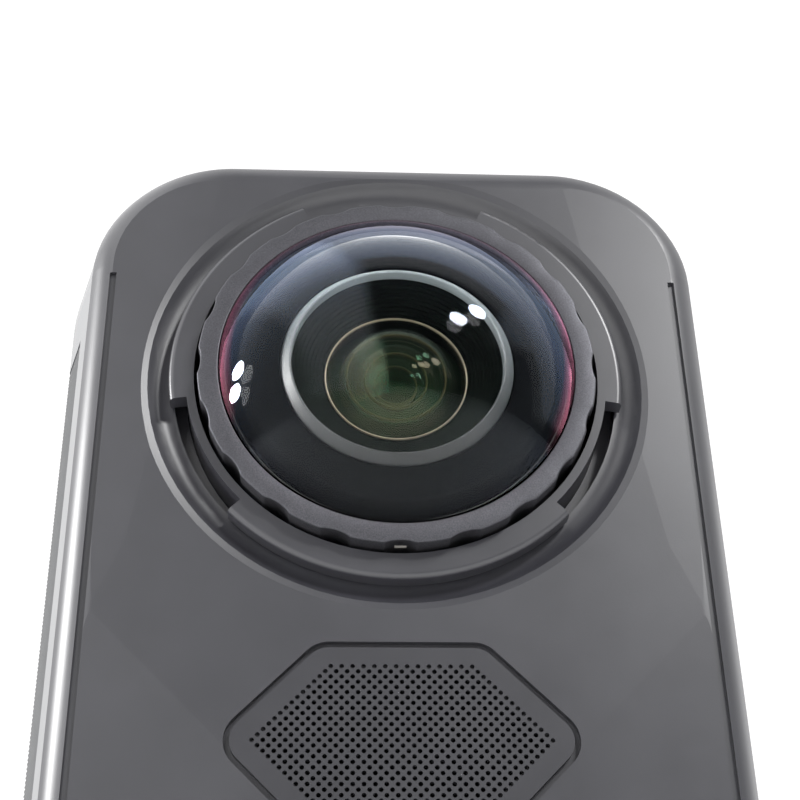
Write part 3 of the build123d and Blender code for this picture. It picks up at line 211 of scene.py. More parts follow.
@dataclass(frozen=True)
class Finish(Surface):
    """A solid finish: plastic, metal, rubber or board, with its wander of colour and its fine relief."""

    colour: Point3
    roughness: float
    metallic: float = 0.0
    specular: float = 0.5
    grain: Grain = Grain.MOULDED
    grain_size: float = 0.12
    grain_depth: float = 0.004
    brush_stretch: Point3 = (0.05, 1.0, 1.0)
    wander: float = 0.08
    wander_size: float = 6.0
    coat: float = 0.0
    speck: float = 0.0
    speck_size: float = 0.1
    # Painted shade and light: the heights in millimetres over which the colour is darkened towards the foot of the
    # lens and brightened towards its top, shaped by the power, gain and floor below.
    fall: Point2 | None = None
    fall_power: float = 2.4
    fall_gain: float = 1.9
    fall_floor: float = 0.15

    def paint(self, graph: NodeGraph, shader: Node, place: NodeSocket) -> None:
        """Set up the Principled node.

        Args:
            graph: The material's nodes.
            shader: The Principled node.
            place: The coordinates.
        """
        cloud = graph.noise(place, self.wander_size, *WANDER_NOISE)
        rough = (self.roughness * (1 - self.wander / 2), self.roughness * (1 + self.wander / 2))
        graph.fit(shader, Metallic=self.metallic, Specular_IOR_Level=self.specular, Coat_Weight=self.coat,
                  Base_Color=self.tone(graph, place, cloud), Roughness=graph.mapped(cloud, *NOISE_SPREAD, *rough))
        if self.grain is not Grain.NONE:
            graph.fit(shader, Normal=self.relief(graph, place))

    def tone(self, graph: NodeGraph, place: NodeSocket, cloud: NodeSocket) -> NodeSocket:
        """The colour, with its slow wander, its specks, and painted shade and light that darken it towards the lower
        part of the lens and brighten it towards the top.

        Args:
            graph: The material's nodes.
            place: The coordinates.
            cloud: The pattern of the wander.

        Returns:
            The colour.
        """
        shades = [tuple(min(c * share, 1.0) for c in self.colour) for share in (1 - self.wander, 1 + self.wander)]
        colour = graph.ramp(cloud, tuple(zip(NOISE_SPREAD, shades)))
        if self.speck:
            grains = graph.noise(place, self.speck_size, *SPECK_NOISE)
            level = graph.mapped(grains, *NOISE_SPREAD, 1 - self.speck, 1 + self.speck)
            colour = graph.vector("MULTIPLY", colour, level)
        # Painted shade and light: the colour is scaled by height, dark at the lower part of the lens and brighter
        # than its own colour at the top.
        if self.fall:
            height = graph.add("SeparateXYZ", Vector=place).outputs["Z"]
            share = graph.mapped(height, *(end * MM for end in self.fall))
            level = graph.math("MULTIPLY", graph.math("POWER", share, self.fall_power), self.fall_gain)
            colour = graph.vector("MULTIPLY", colour, graph.math("ADD", level, self.fall_floor))
        return colour

    def relief(self, graph: NodeGraph, place: NodeSocket) -> NodeSocket:
        """The bump of the fine relief, drawn out along X on brushed metal.

        Args:
            graph: The material's nodes.
            place: The coordinates.

        Returns:
            The bent normal.
        """
        if self.grain is Grain.BRUSHED:
            place = graph.add("Mapping", Vector=place, Scale=self.brush_stretch).outputs["Vector"]
        dust = graph.noise(place, self.grain_size, *self.grain.noise)
        return graph.add("Bump", Strength=1.0, Distance=self.grain_depth * MM, Height=dust).outputs["Normal"]


@dataclass(frozen=True)
class CoatedGlass(Surface):
    """Clear polished glass whose coat colours its mirror, and which lets lamps through to what is behind."""

    mirror: Point3
    index: float
    tint: Point3 = (1.0, 1.0, 1.0)
    bloom: Stops = ()
    rim: Stops = ()
    rim_reach: Point2 = (10.0, 12.0)
    rim_slant: Point2 = (0.30, 0.52)
    shadow_tint: float = 0.5

    def paint(self, graph: NodeGraph, shader: Node, place: NodeSocket) -> None:
        """Set up the glass, clear for shadows.

        Args:
            graph: The material's nodes.
            shader: The Principled node.
            place: The coordinates.
        """
        graph.fit(shader, Transmission_Weight=1.0, IOR=self.index, Roughness=0.0,
                  Specular_Tint=(*self.mirror, 1.0), Base_Color=(*self.tint, 1.0))
        surface = shader.outputs["BSDF"]
        if self.bloom:
            surface = self.bloomed(graph, place, surface)
        shadow = (1 - self.shadow_tint * (1 - c) for c in self.tint)
        clear = graph.add("BsdfTransparent", Color=(*shadow, 1.0))
        pick = graph.add("MixShader", Fac=graph.add("LightPath").outputs["Is Shadow Ray"])
        graph.feed(pick.inputs[1], surface)
        graph.feed(pick.inputs[2], clear.outputs["BSDF"])
        graph.fit(graph.tree.nodes["Material Output"], Surface=pick.outputs["Shader"])

    def bloomed(self, graph: NodeGraph, place: NodeSocket, surface: NodeSocket) -> NodeSocket:
        """Add the mirror colour that the coat takes where it is seen aslant, and near the rim.

        Args:
            graph: The material's nodes.
            place: The coordinates.
            surface: The glass so far.

        Returns:
            The glass with its bloom.
        """
        aslant = graph.add("LayerWeight", Blend=0.5).outputs["Facing"]
        middle = graph.vector("SUBTRACT", place, (0.0, 0.0, LENS_HEIGHT * MM))
        across = graph.vector("MULTIPLY", middle, (1.0, 0.0, 1.0))
        away = graph.math("LENGTH", across, kind="VectorMath")
        reach = graph.mapped(away, *(radius * MM for radius in self.rim_reach))
        edge = graph.vector("MULTIPLY", graph.ramp(reach, self.rim), graph.mapped(aslant, *self.rim_slant))
        total = graph.vector("ADD", graph.ramp(aslant, self.bloom), edge)
        mirror = graph.add("BsdfAnisotropic", Roughness=0.0, Color=total)
        both = graph.add("AddShader")
        graph.feed(both.inputs[0], surface)
        graph.feed(both.inputs[1], mirror.outputs["BSDF"])
        return both.outputs["Shader"]


@dataclass(frozen=True)
class Palette:
    """Every finish of the camera, by what it is on."""

    shell: Finish = Finish("shell_plastic", (0.028, 0.028, 0.034), 0.38, specular=0.9, grain_size=0.09,
                           grain_depth=0.0025)
    frame_metal: Finish = Finish("frame_metal", (0.075, 0.076, 0.082), 0.36, specular=0.6, grain_size=0.08,
                                 grain_depth=0.002)
    grip: Finish = Finish("grip_rubber", (0.085, 0.087, 0.09), 0.55, grain_size=0.06)
    grille: Finish = Finish("grille_metal", (0.024, 0.024, 0.029), 0.4, specular=0.7, grain_size=0.07,
                            grain_depth=0.002)
    mesh_cloth: Finish = Finish("wind_cloth", (0.006, 0.006, 0.007), 0.9, grain_size=0.2, grain_depth=0.03)
    collar: Finish = Finish("collar_plastic", (0.026, 0.026, 0.032), 0.38, specular=0.9, grain_size=0.09,
                            grain_depth=0.002)
    ring: Finish = Finish("ring_blasted", (0.075, 0.075, 0.084), 0.46, metallic=0.75, grain=Grain.BLASTED,
                          grain_size=0.1, grain_depth=0.010, wander=0.05, wander_size=4.0, speck=0.35,
                          speck_size=0.09)
    black: Finish = Finish("lens_black", (0.003, 0.003, 0.003), 0.6, specular=0.0, grain_size=0.1,
                           grain_depth=0.0004)
    baffle: Finish = Finish("baffle_black", (0.003, 0.0035, 0.004), 0.6, specular=0.0, grain_size=0.1,
                            grain_depth=0.0002)
    cone: Finish = Finish("cone_black", (0.004, 0.006, 0.0048), 0.6, specular=0.0, grain_size=0.1,
                          grain_depth=0.0003)
    # The ground edge's colour carries painted shade at its foot and painted light at its top.
    ground_edge: Finish = Finish("ground_glass_edge", (0.125, 0.145, 0.152), 0.42, grain_size=0.08,
                                 fall=(96.5, 111.7))
    bright_edge: Finish = Finish("polished_edge", (0.30, 0.26, 0.18), 0.3, metallic=0.3, grain=Grain.NONE)
    dim_edge: Finish = Finish("dim_edge", (0.030, 0.028, 0.014), 0.4, specular=0.0, grain=Grain.NONE)
    well: Finish = Finish("lens_well", (0.005, 0.010, 0.006), 0.6, specular=0.0, grain=Grain.NONE)
    seal: Finish = Finish("seal_rubber", (0.012, 0.012, 0.012), 0.7)
    key: Finish = Finish("key_plastic", (0.040, 0.041, 0.046), 0.38, grain_size=0.09, grain_depth=0.002)
    base: Finish = Finish("base_metal", (0.030, 0.031, 0.034), 0.42, metallic=0.3, grain_size=0.08)
    steel: Finish = Finish("turned_steel", (0.52, 0.52, 0.54), 0.3, metallic=1.0, grain=Grain.BRUSHED,
                           grain_size=0.1, grain_depth=0.003)
    dark_steel: Finish = Finish("blackened_steel", (0.09, 0.09, 0.095), 0.35, metallic=1.0, grain=Grain.BRUSHED,
                                grain_size=0.1, grain_depth=0.003)
    gold: Finish = Finish("contact_gold", (0.83, 0.60, 0.26), 0.25, metallic=1.0, grain=Grain.NONE)
    board: Finish = Finish("board_resist", (0.010, 0.055, 0.028), 0.35, grain_size=0.4, grain_depth=0.006, coat=0.3)
    chip: Finish = Finish("chip_resin", (0.012, 0.012, 0.013), 0.5, grain_size=0.08)
    spreader: Finish = Finish("spreader_metal", (0.62, 0.63, 0.65), 0.32, metallic=1.0, grain=Grain.BRUSHED,
                              grain_size=0.15, grain_depth=0.003)
    cover_glass: Finish = Finish("cover_glass_black", (0.003, 0.003, 0.004), 0.05, specular=0.4, grain=Grain.NONE)
    panel: Finish = Finish("display_dark", (0.008, 0.009, 0.012), 0.15, grain=Grain.NONE)
    battery: Finish = Finish("battery_wrap", (0.018, 0.018, 0.020), 0.42, grain_size=0.1, grain_depth=0.003)
    card: Finish = Finish("card_plastic", (0.012, 0.012, 0.013), 0.4)
    light: Finish = Finish("light_window", (0.45, 0.5, 0.5), 0.2, grain=Grain.NONE)
    mark: Finish = Finish("index_paint", (0.20, 0.19, 0.175), 0.5, grain_size=0.1)
    record_red: Finish = Finish("shutter_ring", (0.30, 0.012, 0.012), 0.35, grain_size=0.1, grain_depth=0.002)
    floor: Finish = Finish("floor_card", (0.78, 0.78, 0.78), 0.8, grain_size=1.0)
    dome: CoatedGlass = CoatedGlass(
        "dome_coated", (1.0, 1.0, 1.0), 1.15,
        bloom=((0.0, (0.0, 0.0, 0.0)), (0.22, (0.005, 0.006, 0.008)), (0.37, (0.005, 0.009, 0.016)),
               (0.50, (0.018, 0.030, 0.060)), (0.60, (0.020, 0.040, 0.075)), (0.70, (0.055, 0.075, 0.135)),
               (0.78, (0.15, 0.14, 0.21)), (1.0, (0.5, 0.45, 0.55))),
        rim=((0.0, (0.0, 0.0, 0.0)), (0.40, (0.0, 0.0, 0.0)), (0.60, (0.15, 0.035, 0.055)),
             (0.74, (0.40, 0.10, 0.14)), (1.0, (0.40, 0.10, 0.14))))
    dome_inside: CoatedGlass = CoatedGlass("dome_inner_face", (0.9, 0.95, 1.0), 1.15)
    green_coat: CoatedGlass = CoatedGlass("green_coated", (0.30, 1.0, 0.50), 1.25, (0.96, 1.0, 0.95))
    beige_coat: CoatedGlass = CoatedGlass("beige_coated", (1.0, 0.80, 0.50), 1.25, (0.97, 1.0, 0.95))
    teal_coat: CoatedGlass = CoatedGlass("teal_coated", (0.15, 0.85, 0.70), 1.25, (0.95, 1.0, 0.95))


PALETTE = Palette()


def put(name: str, mesh: Mesh, finish: Surface, body: str, replaces: Sequence[str] = ()) -> Object:
    """Place a finished mesh in the scene as one piece.

    Args:
        name: The piece's name.
        mesh: The mesh, in metres and already in place.
        finish: Its finish, unless the mesh has one.
        body: The body that it rides on.
        replaces: The nodes that it stands for.

    Returns:
        The piece.
    """
    mesh.name = name
    if not mesh.materials:
        mesh.materials.append(finish.material())
    piece = bpy.data.objects.new(name, mesh)
    bpy.context.scene.collection.objects.link(piece)
    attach(piece, body)
    if replaces:
        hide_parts(*replaces)
    LOG.info("%s: %d faces on %s", name, len(mesh.polygons), body)
    return piece


def metres(point: Point3) -> Point3:
    """A point in millimetres, given in metres."""
    return tuple(value * MM for value in point)


def close(maker: bmesh.types.BMesh, sharp: float = 30.0, merge: float = 0.0005) -> Mesh:
    """Finish a mesh under construction: merge, turn normals out and mark sharp edges.

    Args:
        maker: The mesh under construction, in metres.
        sharp: The angle, in degrees, past which an edge stays sharp.
        merge: How near two points are to be merged, in millimetres.

    Returns:
        The finished mesh.
    """
    bmesh.ops.remove_doubles(maker, verts=maker.verts, dist=merge * MM)
    bmesh.ops.dissolve_degenerate(maker, edges=maker.edges, dist=merge * MM)
    bmesh.ops.recalc_face_normals(maker, faces=maker.faces)
    mesh = bpy.data.meshes.new("piece")
    maker.to_mesh(mesh)
    maker.free()
    mesh.shade_smooth()
    mesh.set_sharp_from_angle(angle=math.radians(sharp))
    return mesh


def loft(sections: Sequence[Sequence[Point3]], sharp: float = 30.0, merge: float = 0.0005) -> Mesh:
    """Join closed sections in their order, and close both ends.

    Args:
        sections: The sections, with the same count of points each, in millimetres.
        sharp: The angle, in degrees, past which an edge stays sharp.
        merge: How near two points are to be merged, in millimetres.

    Returns:
        The mesh.
    """
    maker = bmesh.new()
    loops = [[maker.verts.new(metres(point)) for point in section] for section in sections]
    for one, two in zip(loops, loops[1:]):
        for k in range(len(one)):
            maker.faces.new((one[k - 1], one[k], two[k], two[k - 1]))
    maker.faces.new(loops[0])
    maker.faces.new(loops[-1])
    return close(maker, sharp, merge)


def arc(centre: Point2, radius: float, first: float, last: float, steps: int) -> list[Point2]:
    """Points on an arc.

    Args:
        centre: Its centre.
        radius: Its radius.
        first: Its first angle, in degrees.
        last: Its last angle, in degrees.
        steps: How many runs it has.

    Returns:
        The points, ends included.
    """
    angles = [math.radians(first + (last - first) * k / steps) for k in range(steps + 1)]
    return [(centre[0] + radius * math.cos(a), centre[1] + radius * math.sin(a)) for a in angles]


def softened(corners: Sequence[Point2], radii: Sequence[float], steps: int) -> list[Point2]:
    """A closed outline with its corners rounded.

    Args:
        corners: The outline's corners.
        radii: The radius of each, zero for a sharp one.
        steps: How many runs each rounding has.

    Returns:
        The outline's points.
    """
    points: list[Point2] = []
    for k, (corner, radius) in enumerate(zip(corners, radii)):
        if radius <= 0:
            points.append(corner)
            continue
        here = Vector(corner)
        to_last = (Vector(corners[k - 1]) - here).normalized()
        to_next = (Vector(corners[(k + 1) % len(corners)]) - here).normalized()
        half = to_last.angle(to_next) / 2
        middle = here + (to_last + to_next).normalized() * (radius / math.sin(half))
        start = here + to_last * (radius / math.tan(half)) - middle
        end = here + to_next * (radius / math.tan(half)) - middle
        turn = start.angle_signed(end)
        for step in range(steps + 1):
            angle = -turn * step / steps
            rotated = Vector((start.x * math.cos(angle) - start.y * math.sin(angle),
                              start.x * math.sin(angle) + start.y * math.cos(angle)))
            points.append(tuple(middle + rotated))
    return points


def band(radius: float, width: float, foot: float, top: float, soft: float, steps: int) -> list[Point2]:
    """The outline of a flat ring with its two front edges rounded.

    Args:
        radius: The ring's outer radius.
        width: Its width.
        foot: The depth of its back.
        top: The depth of its front.
        soft: The radius of its front edges.
        steps: How many runs each rounding has.

    Returns:
        Points of radius and depth.
    """
    corners = [(radius - width, foot), (radius, foot), (radius, top), (radius - width, top)]
    return softened(corners, [0, 0, soft, soft], steps)


@dataclass(frozen=True)
class Axis:
    """A line that pieces are turned about, with its angles counted from X."""

    foot: Point3
    along: Point3
    upward: Point3

    def place(self, radius: float, angle: float, depth: float) -> Point3:
        """A point from its radius, its angle in radians and its depth.

        Args:
            radius: Its distance from the axis.
            angle: Its angle round the axis.
            depth: Its distance along the axis.

        Returns:
            The point, in millimetres.
        """
        over, up = radius * math.cos(angle), radius * math.sin(angle)
        return tuple(f + x * over + a * depth + u * up
                     for f, x, a, u in zip(self.foot, (1, 0, 0), self.along, self.upward))

    def turn(self, outline: Sequence[Point2], steps: int, sharp: float = 30.0, reach: Reach | None = None) -> Mesh:
        """Turn a closed outline about the axis.

        Args:
            outline: Points of radius and depth.
            steps: How many facets go round.
            sharp: The angle past which an edge stays sharp.
            reach: Changes a radius by the depth and the angle, for an edge that isn't round.

        Returns:
            The mesh.
        """
        maker = bmesh.new()
        rings = []
        for step in range(steps):
            angle = 2 * math.pi * step / steps
            rings.append([maker.verts.new(metres(self.place(reach(r, d, angle) if reach else r, angle, d)))
                          for r, d in outline])
        for ring, after in zip(rings, rings[1:] + rings[:1]):
            for k in range(len(outline)):
                if outline[k - 1][0] or outline[k][0]:
                    maker.faces.new((ring[k - 1], ring[k], after[k], after[k - 1]))
        return close(maker, sharp)


def outward_axis(side: Side, across: float = 0.0, height: float = LENS_HEIGHT) -> Axis:
    """The axis of a round piece on a broad face, which is the lens's unless it is placed elsewhere."""
    return Axis((across, 0.0, height), (0.0, side.value, 0.0), (0.0, 0.0, 1.0))


def upright_axis(across: float = 0.0, deep: float = 0.0) -> Axis:
    """The axis of a round piece in the base."""
    return Axis((across, deep, 0.0), (0.0, 0.0, 1.0), (0.0, 1.0, 0.0))


@dataclass(frozen=True)
class Element:
    """A polished element, domed in front and hollow behind: its rim's depth and height, and its two spheres."""

    word: str
    radius: float
    rim: float
    front: float
    back: float
    edge: float
    finishes: tuple[CoatedGlass, ...]
    node: str = ""
    slot: str = "element"
    sharp: float = 25.0
    steps: int = 24

    def outline(self) -> list[Point2]:
        """The outline from the axis in front to the axis behind.

        Returns:
            Points of radius and depth.
        """
        bowls = []
        for sphere, rim in ((self.front, self.rim), (self.back, self.rim - self.edge)):
            centre = rim - math.sqrt(sphere ** 2 - self.radius ** 2)
            end = math.degrees(math.acos(self.radius / sphere))
            bowls.append([(0.0, centre + sphere), *arc((0, centre), sphere, 90, end, self.steps)[1:]])
        return bowls[0] + bowls[1][::-1]


@dataclass(frozen=True)
class Retainer:
    """A thin ring that shows as a line round an element."""

    word: str
    radius: float
    width: float
    depth: float
    thickness: float
    finishes: tuple[Finish, ...]
    node: str = ""
    slot: str = "lens_black"
    sharp: float = 40.0
    softness: float = 0.4

    def outline(self) -> list[Point2]:
        """The outline as points of radius and depth."""
        soft = min(self.width, self.thickness) * self.softness
        return band(self.radius, self.width, self.depth - self.thickness, self.depth, soft, 3)


@dataclass
class Optics:
    """Everything that shows inside and round one lens."""

    side: Side
    dome_reach: float = 19.1
    dome_steps: int = 40
    dome_facets: int = 256
    dome_sharp: float = 25.0
    foot_slant: float = 0.99
    rim_radius: float = 11.65
    rim_top: float = 13.77
    rim_foot: float = 12.7
    glass_wall: float = 1.1
    ring_bore: float = 11.72
    ring_radius: float = 13.1
    ring_top: float = 13.7
    ring_foot: float = 10.2
    ring_wall: float = 0.78
    ring_lip: float = 0.5
    ring_facets: int = 960
    ring_sharp: float = 35.0
    scallops: int = 20
    scallop_depth: float = 0.38
    scallop_radius: float = 1.6
    scallop_front: float = 0.5
    scallop_run: float = 0.9
    baffle_foot: float = 12.1
    baffle_top: float = 13.5
    baffle_crest: float = 10.0
    baffle_gap: float = 0.26
    pale_radius: float = 7.6
    pale_width: float = 0.7
    pale_foot: float = 13.3
    pale_top: float = 14.15
    pale_lip: float = 0.06
    cone_foot: float = 9.0
    cone_bore: float = 4.7
    cone_treads: int = 9
    cone_bevel: float = 0.03
    mouth_radius: float = 4.75
    mouth_depth: float = 11.7
    mark_half_turn: float = 1.6
    mark_steps: int = 6
    mark_low: float = 12.98
    mark_high: float = 13.16
    mark_bite: float = 0.06
    mark_rise: float = 0.02
    fit: float = 0.05
    inner_facets: int = 128
    inner_parts: tuple[Element | Retainer, ...] = (
        Element("second", 4.65, 11.75, 5.6, 6.5, 0.5, (PALETTE.green_coat, PALETTE.beige_coat), "second_element"),
        Retainer("second_edge", 4.74, 0.09, 11.85, 0.3, (PALETTE.bright_edge,)),
        Retainer("third_edge", 3.2, 0.12, 11.75, 0.3, (PALETTE.dim_edge,)),
        Element("third", 3.05, 11.6, 4.0, 9.0, 0.3, (PALETTE.beige_coat, PALETTE.green_coat)),
        Retainer("fourth_edge", 1.85, 0.1, 11.3, 0.25, (PALETTE.dim_edge,)),
        Element("fourth", 1.72, 11.2, 2.6, 8.0, 0.3, (PALETTE.teal_coat, PALETTE.green_coat)),
        Retainer("fifth_edge", 1.15, 0.08, 10.8, 0.2, (PALETTE.dim_edge,)),
        Element("fifth", 1.05, 10.7, 1.6, 5.0, 0.2, (PALETTE.teal_coat, PALETTE.green_coat)),
        Retainer("stop_edge", 4.6, 3.6, 9.9, 0.3, (PALETTE.well,)))
    axis: Axis = field(init=False)

    def __post_init__(self) -> None:
        """Set up the axis, the two spheres of the dome and the inner radius of its rim."""
        self.axis = outward_axis(self.side)
        sag = self.dome_reach - self.rim_top
        self.sphere = (self.rim_radius ** 2 + sag ** 2) / (2 * sag)
        self.centre = self.dome_reach - self.sphere
        self.inner_sphere = self.sphere - self.glass_wall
        self.inner_rim = math.sqrt(self.inner_sphere ** 2 - (self.rim_foot - self.centre) ** 2)

    def named(self, word: str) -> str:
        """A word as the name of this side's piece, node or body."""
        return f"{self.side.prefix}_{word}"

    def piece(self, word: str, outline: Sequence[Point2], finish: Surface, slot: str, node: str, body: str = "body",
              steps: int = 180, sharp: float = 40.0, reach: Reach | None = None) -> Object:
        """Turn an outline about the lens's axis as one of this side's pieces.

        Args:
            word: The piece's name on this side.
            outline: Points of radius and depth.
            finish: Its finish.
            slot: Not used.
            node: The node that it stands for, by its name on this side, or nothing.
            body: The body that it rides on.
            steps: How many facets go round.
            sharp: The angle past which an edge stays sharp.
            reach: Changes a radius by the depth and the angle.

        Returns:
            The piece.
        """
        mesh = self.axis.turn(outline, steps, sharp, reach)
        return put(self.named(word), mesh, finish, body, [self.named(node)] if node else [])

    def coat_back(self, piece: Object, finish: Surface) -> None:
        """Give the faces that look into the body a finish of their own.

        Args:
            piece: The piece, with one finish.
            finish: The other.
        """
        piece.data.materials.append(finish.material())
        for face in piece.data.polygons:
            face.material_index = int(face.normal.y * self.side.value < 0)

    def dome(self) -> None:
        """The domed cover glass, as two smooth spheres and a black rim."""
        outer_end, inner_end = (math.degrees(math.acos(share)) for share in (
            self.rim_radius / self.sphere, self.inner_rim / self.inner_sphere))
        outer = arc((0, self.centre), self.sphere, 90, outer_end, self.dome_steps)
        inner = arc((0, self.centre), self.inner_sphere, inner_end, 90, self.dome_steps)
        outline = [(0.0, self.dome_reach), *outer[1:], (self.rim_radius, self.rim_foot), *inner[:-1],
                   (0.0, self.centre + self.inner_sphere)]
        dome = self.piece("dome", outline, PALETTE.dome, "dome", "dome_glass", self.named("lens_cell"),
                          self.dome_facets, self.dome_sharp)
        self.coat_back(dome, PALETTE.dome_inside)
        dome.data.materials.append(PALETTE.black.material())
        points = [vertex.co for vertex in dome.data.vertices]
        for face in dome.data.polygons:
            spread = [math.hypot(points[v].x, points[v].z - LENS_HEIGHT * MM) / MM for v in face.vertices]
            foot = face.normal.y * self.side.value < -self.foot_slant
            if max(spread) > self.inner_rim - self.fit and (foot or min(spread) > self.rim_radius - self.fit):
                face.material_index = 2

    def scalloped(self, radius: float, depth: float, angle: float) -> float:
        """The ring's outer radius at an angle, less where a scallop bites, shallowly at the front edge.

        Args:
            radius: The radius on the outline.
            depth: The depth on the outline.
            angle: The angle round the lens, in radians.

        Returns:
            The radius with the scallops taken off.
        """
        if radius < self.ring_radius - self.ring_wall + self.fit:
            return radius
        pitch = 2 * math.pi / self.scallops
        off = (angle - pitch / 2) % pitch - pitch / 2
        reach = self.ring_radius + self.scallop_radius - self.scallop_depth
        across = reach * math.sin(off)
        if abs(across) >= self.scallop_radius:
            return radius
        bite = reach * math.cos(off) - math.sqrt(self.scallop_radius ** 2 - across ** 2)
        front = min(max((self.ring_top - depth) / self.scallop_run, 0.0), 1.0)
        share = self.scallop_front + (1 - self.scallop_front) * front
        return radius - share * (self.ring_radius - min(bite, self.ring_radius))

    def ring(self) -> None:
        """The bead-blasted ring round the glass, scalloped and with softened edges."""
        skirt, under = self.ring_radius - self.ring_wall, self.ring_top - self.ring_lip
        corners = [(self.ring_bore, under), (self.ring_bore, self.ring_top), (self.ring_radius, self.ring_top),
                   (self.ring_radius, self.ring_top - self.scallop_run / 2),
                   (self.ring_radius, self.ring_top - self.scallop_run),
                   (self.ring_radius, self.ring_foot), (skirt, self.ring_foot), (skirt, under)]
        outline = softened(corners, [0, 0.09, 0.13, 0, 0, 0.08, 0, 0], 4)
        self.piece("ring", outline, PALETTE.ring, "ring", "lens_ring", self.named("ring"), self.ring_facets,
                   self.ring_sharp, self.scalloped)

    def baffle(self) -> None:
        """The black annulus under the dome."""
        bore, edge = self.pale_radius + self.fit, self.inner_rim - self.baffle_gap
        corners = [(bore, self.baffle_foot), (edge, self.baffle_foot), (edge, self.rim_foot),
                   (self.baffle_crest, self.baffle_top), (bore, self.baffle_top)]
        outline = softened(corners, [0, 0, 0.3, 0.5, 0.08], 6)
        self.piece("baffle", outline, PALETTE.baffle, "lens_black", "front_baffle")

    def pale_ring(self) -> None:
        """The ground edge of the element behind the dome, sloping outwards."""
        inner = self.pale_radius - self.pale_width
        corners = [(inner, self.pale_foot), (self.pale_radius, self.pale_foot),
                   (self.pale_radius, self.pale_foot + self.pale_lip), (inner, self.pale_top)]
        outline = softened(corners, [0, 0, 0.05, 0.08], 4)
        self.piece("ground_edge", outline, PALETTE.ground_edge, "pale_ring", "inner_ring", sharp=50)

    def cone(self) -> None:
        """The blackened stepped baffle round the second element."""
        top, inner = self.pale_foot, self.pale_radius - self.pale_width
        outline = [(self.pale_radius, self.cone_foot), (self.pale_radius, top), (inner, top)]
        tread, rise = (inner - self.mouth_radius) / self.cone_treads, (top - self.mouth_depth) / self.cone_treads
        for k in range(1, self.cone_treads + 1):
            level, edge = top - k * rise, inner - (k - 1) * tread
            outline += [(edge, level + self.cone_bevel), (edge - self.cone_bevel, level), (inner - k * tread, level)]
        outline += [(self.cone_bore, self.mouth_depth), (self.cone_bore, self.cone_foot)]
        self.piece("cone", outline, PALETTE.cone, "lens_black", "stepped_cone", sharp=25)

    def depths(self) -> None:
        """The elements and retaining rings inside the cone, down to the stop."""
        for part in self.inner_parts:
            piece = self.piece(part.word, part.outline(), part.finishes[0], part.slot, part.node,
                               steps=self.inner_facets, sharp=part.sharp)
            for finish in part.finishes[1:]:
                self.coat_back(piece, finish)

    def index_mark(self) -> None:
        """The small pale mark on the ring's wall, at its lowest point."""
        foot, face = self.ring_radius - self.mark_bite, self.ring_radius + self.mark_rise
        corners = ((foot, self.mark_low), (face, self.mark_low), (face, self.mark_high), (foot, self.mark_high))
        turns = [-90 + self.mark_half_turn * (2 * k / self.mark_steps - 1) for k in range(self.mark_steps + 1)]
        mesh = loft([[self.axis.place(r, math.radians(turn), d) for r, d in corners] for turn in turns])
        put(self.named("index_mark"), mesh, PALETTE.mark, self.named("ring"))

    def build(self) -> None:
        """Build the whole lens."""
        for part in (self.dome, self.ring, self.baffle, self.pale_ring, self.cone, self.depths, self.index_mark):
            part()


@dataclass(frozen=True)
class Row:
    """Copies of a mesh in a straight row, by Geometry Nodes."""

    count: int
    step: Point3
    finish: Finish

    @staticmethod
    @functools.cache
    def tree() -> NodeTree:
        """Build the node tree, once.

        Returns:
            The tree, with inputs for the count, the step and the finish.
        """
        tree = bpy.data.node_groups.new("copies_in_a_row", "GeometryNodeTree")
        for name, kind in (("Geometry", "Geometry"), ("Count", "Int"), ("Step", "Vector"), ("Finish", "Material")):
            tree.interface.new_socket(name, in_out="INPUT", socket_type="NodeSocket" + kind)
        tree.interface.new_socket("Geometry", in_out="OUTPUT", socket_type="NodeSocketGeometry")
        given, result, line, copies, real, dress = (tree.nodes.new(kind) for kind in (
            "NodeGroupInput", "NodeGroupOutput", "GeometryNodeMeshLine", "GeometryNodeInstanceOnPoints",
            "GeometryNodeRealizeInstances", "GeometryNodeSetMaterial"))
        line.mode = "OFFSET"
        for source, output, target, place in (
                (given, "Count", line, "Count"), (given, "Step", line, "Offset"), (line, "Mesh", copies, "Points"),
                (given, "Geometry", copies, "Instance"), (copies, "Instances", real, "Geometry"),
                (real, "Geometry", dress, "Geometry"), (given, "Finish", dress, "Material"),
                (dress, "Geometry", result, "Geometry")):
            tree.links.new(source.outputs[output], target.inputs[place])
        return tree

    def of(self, mesh: Mesh) -> Mesh:
        """Repeat a mesh.

        Args:
            mesh: The first one, in place and in metres.

        Returns:
            All of them as one plain mesh.
        """
        values = {"Count": self.count, "Step": metres(self.step), "Finish": self.finish.material()}
        worker = bpy.data.objects.new("row_worker", mesh)
        bpy.context.scene.collection.objects.link(worker)
        modifier = worker.modifiers.new("row", "NODES")
        modifier.node_group = self.tree()
        for item in self.tree().interface.items_tree:
            if item.in_out == "INPUT" and item.name in values:
                modifier[item.identifier] = values[item.name]
        evaluated = worker.evaluated_get(bpy.context.evaluated_depsgraph_get())
        plain = bpy.data.meshes.new_from_object(evaluated)
        worker.modifiers.remove(modifier)
        bpy.data.objects.remove(worker)
        return plain


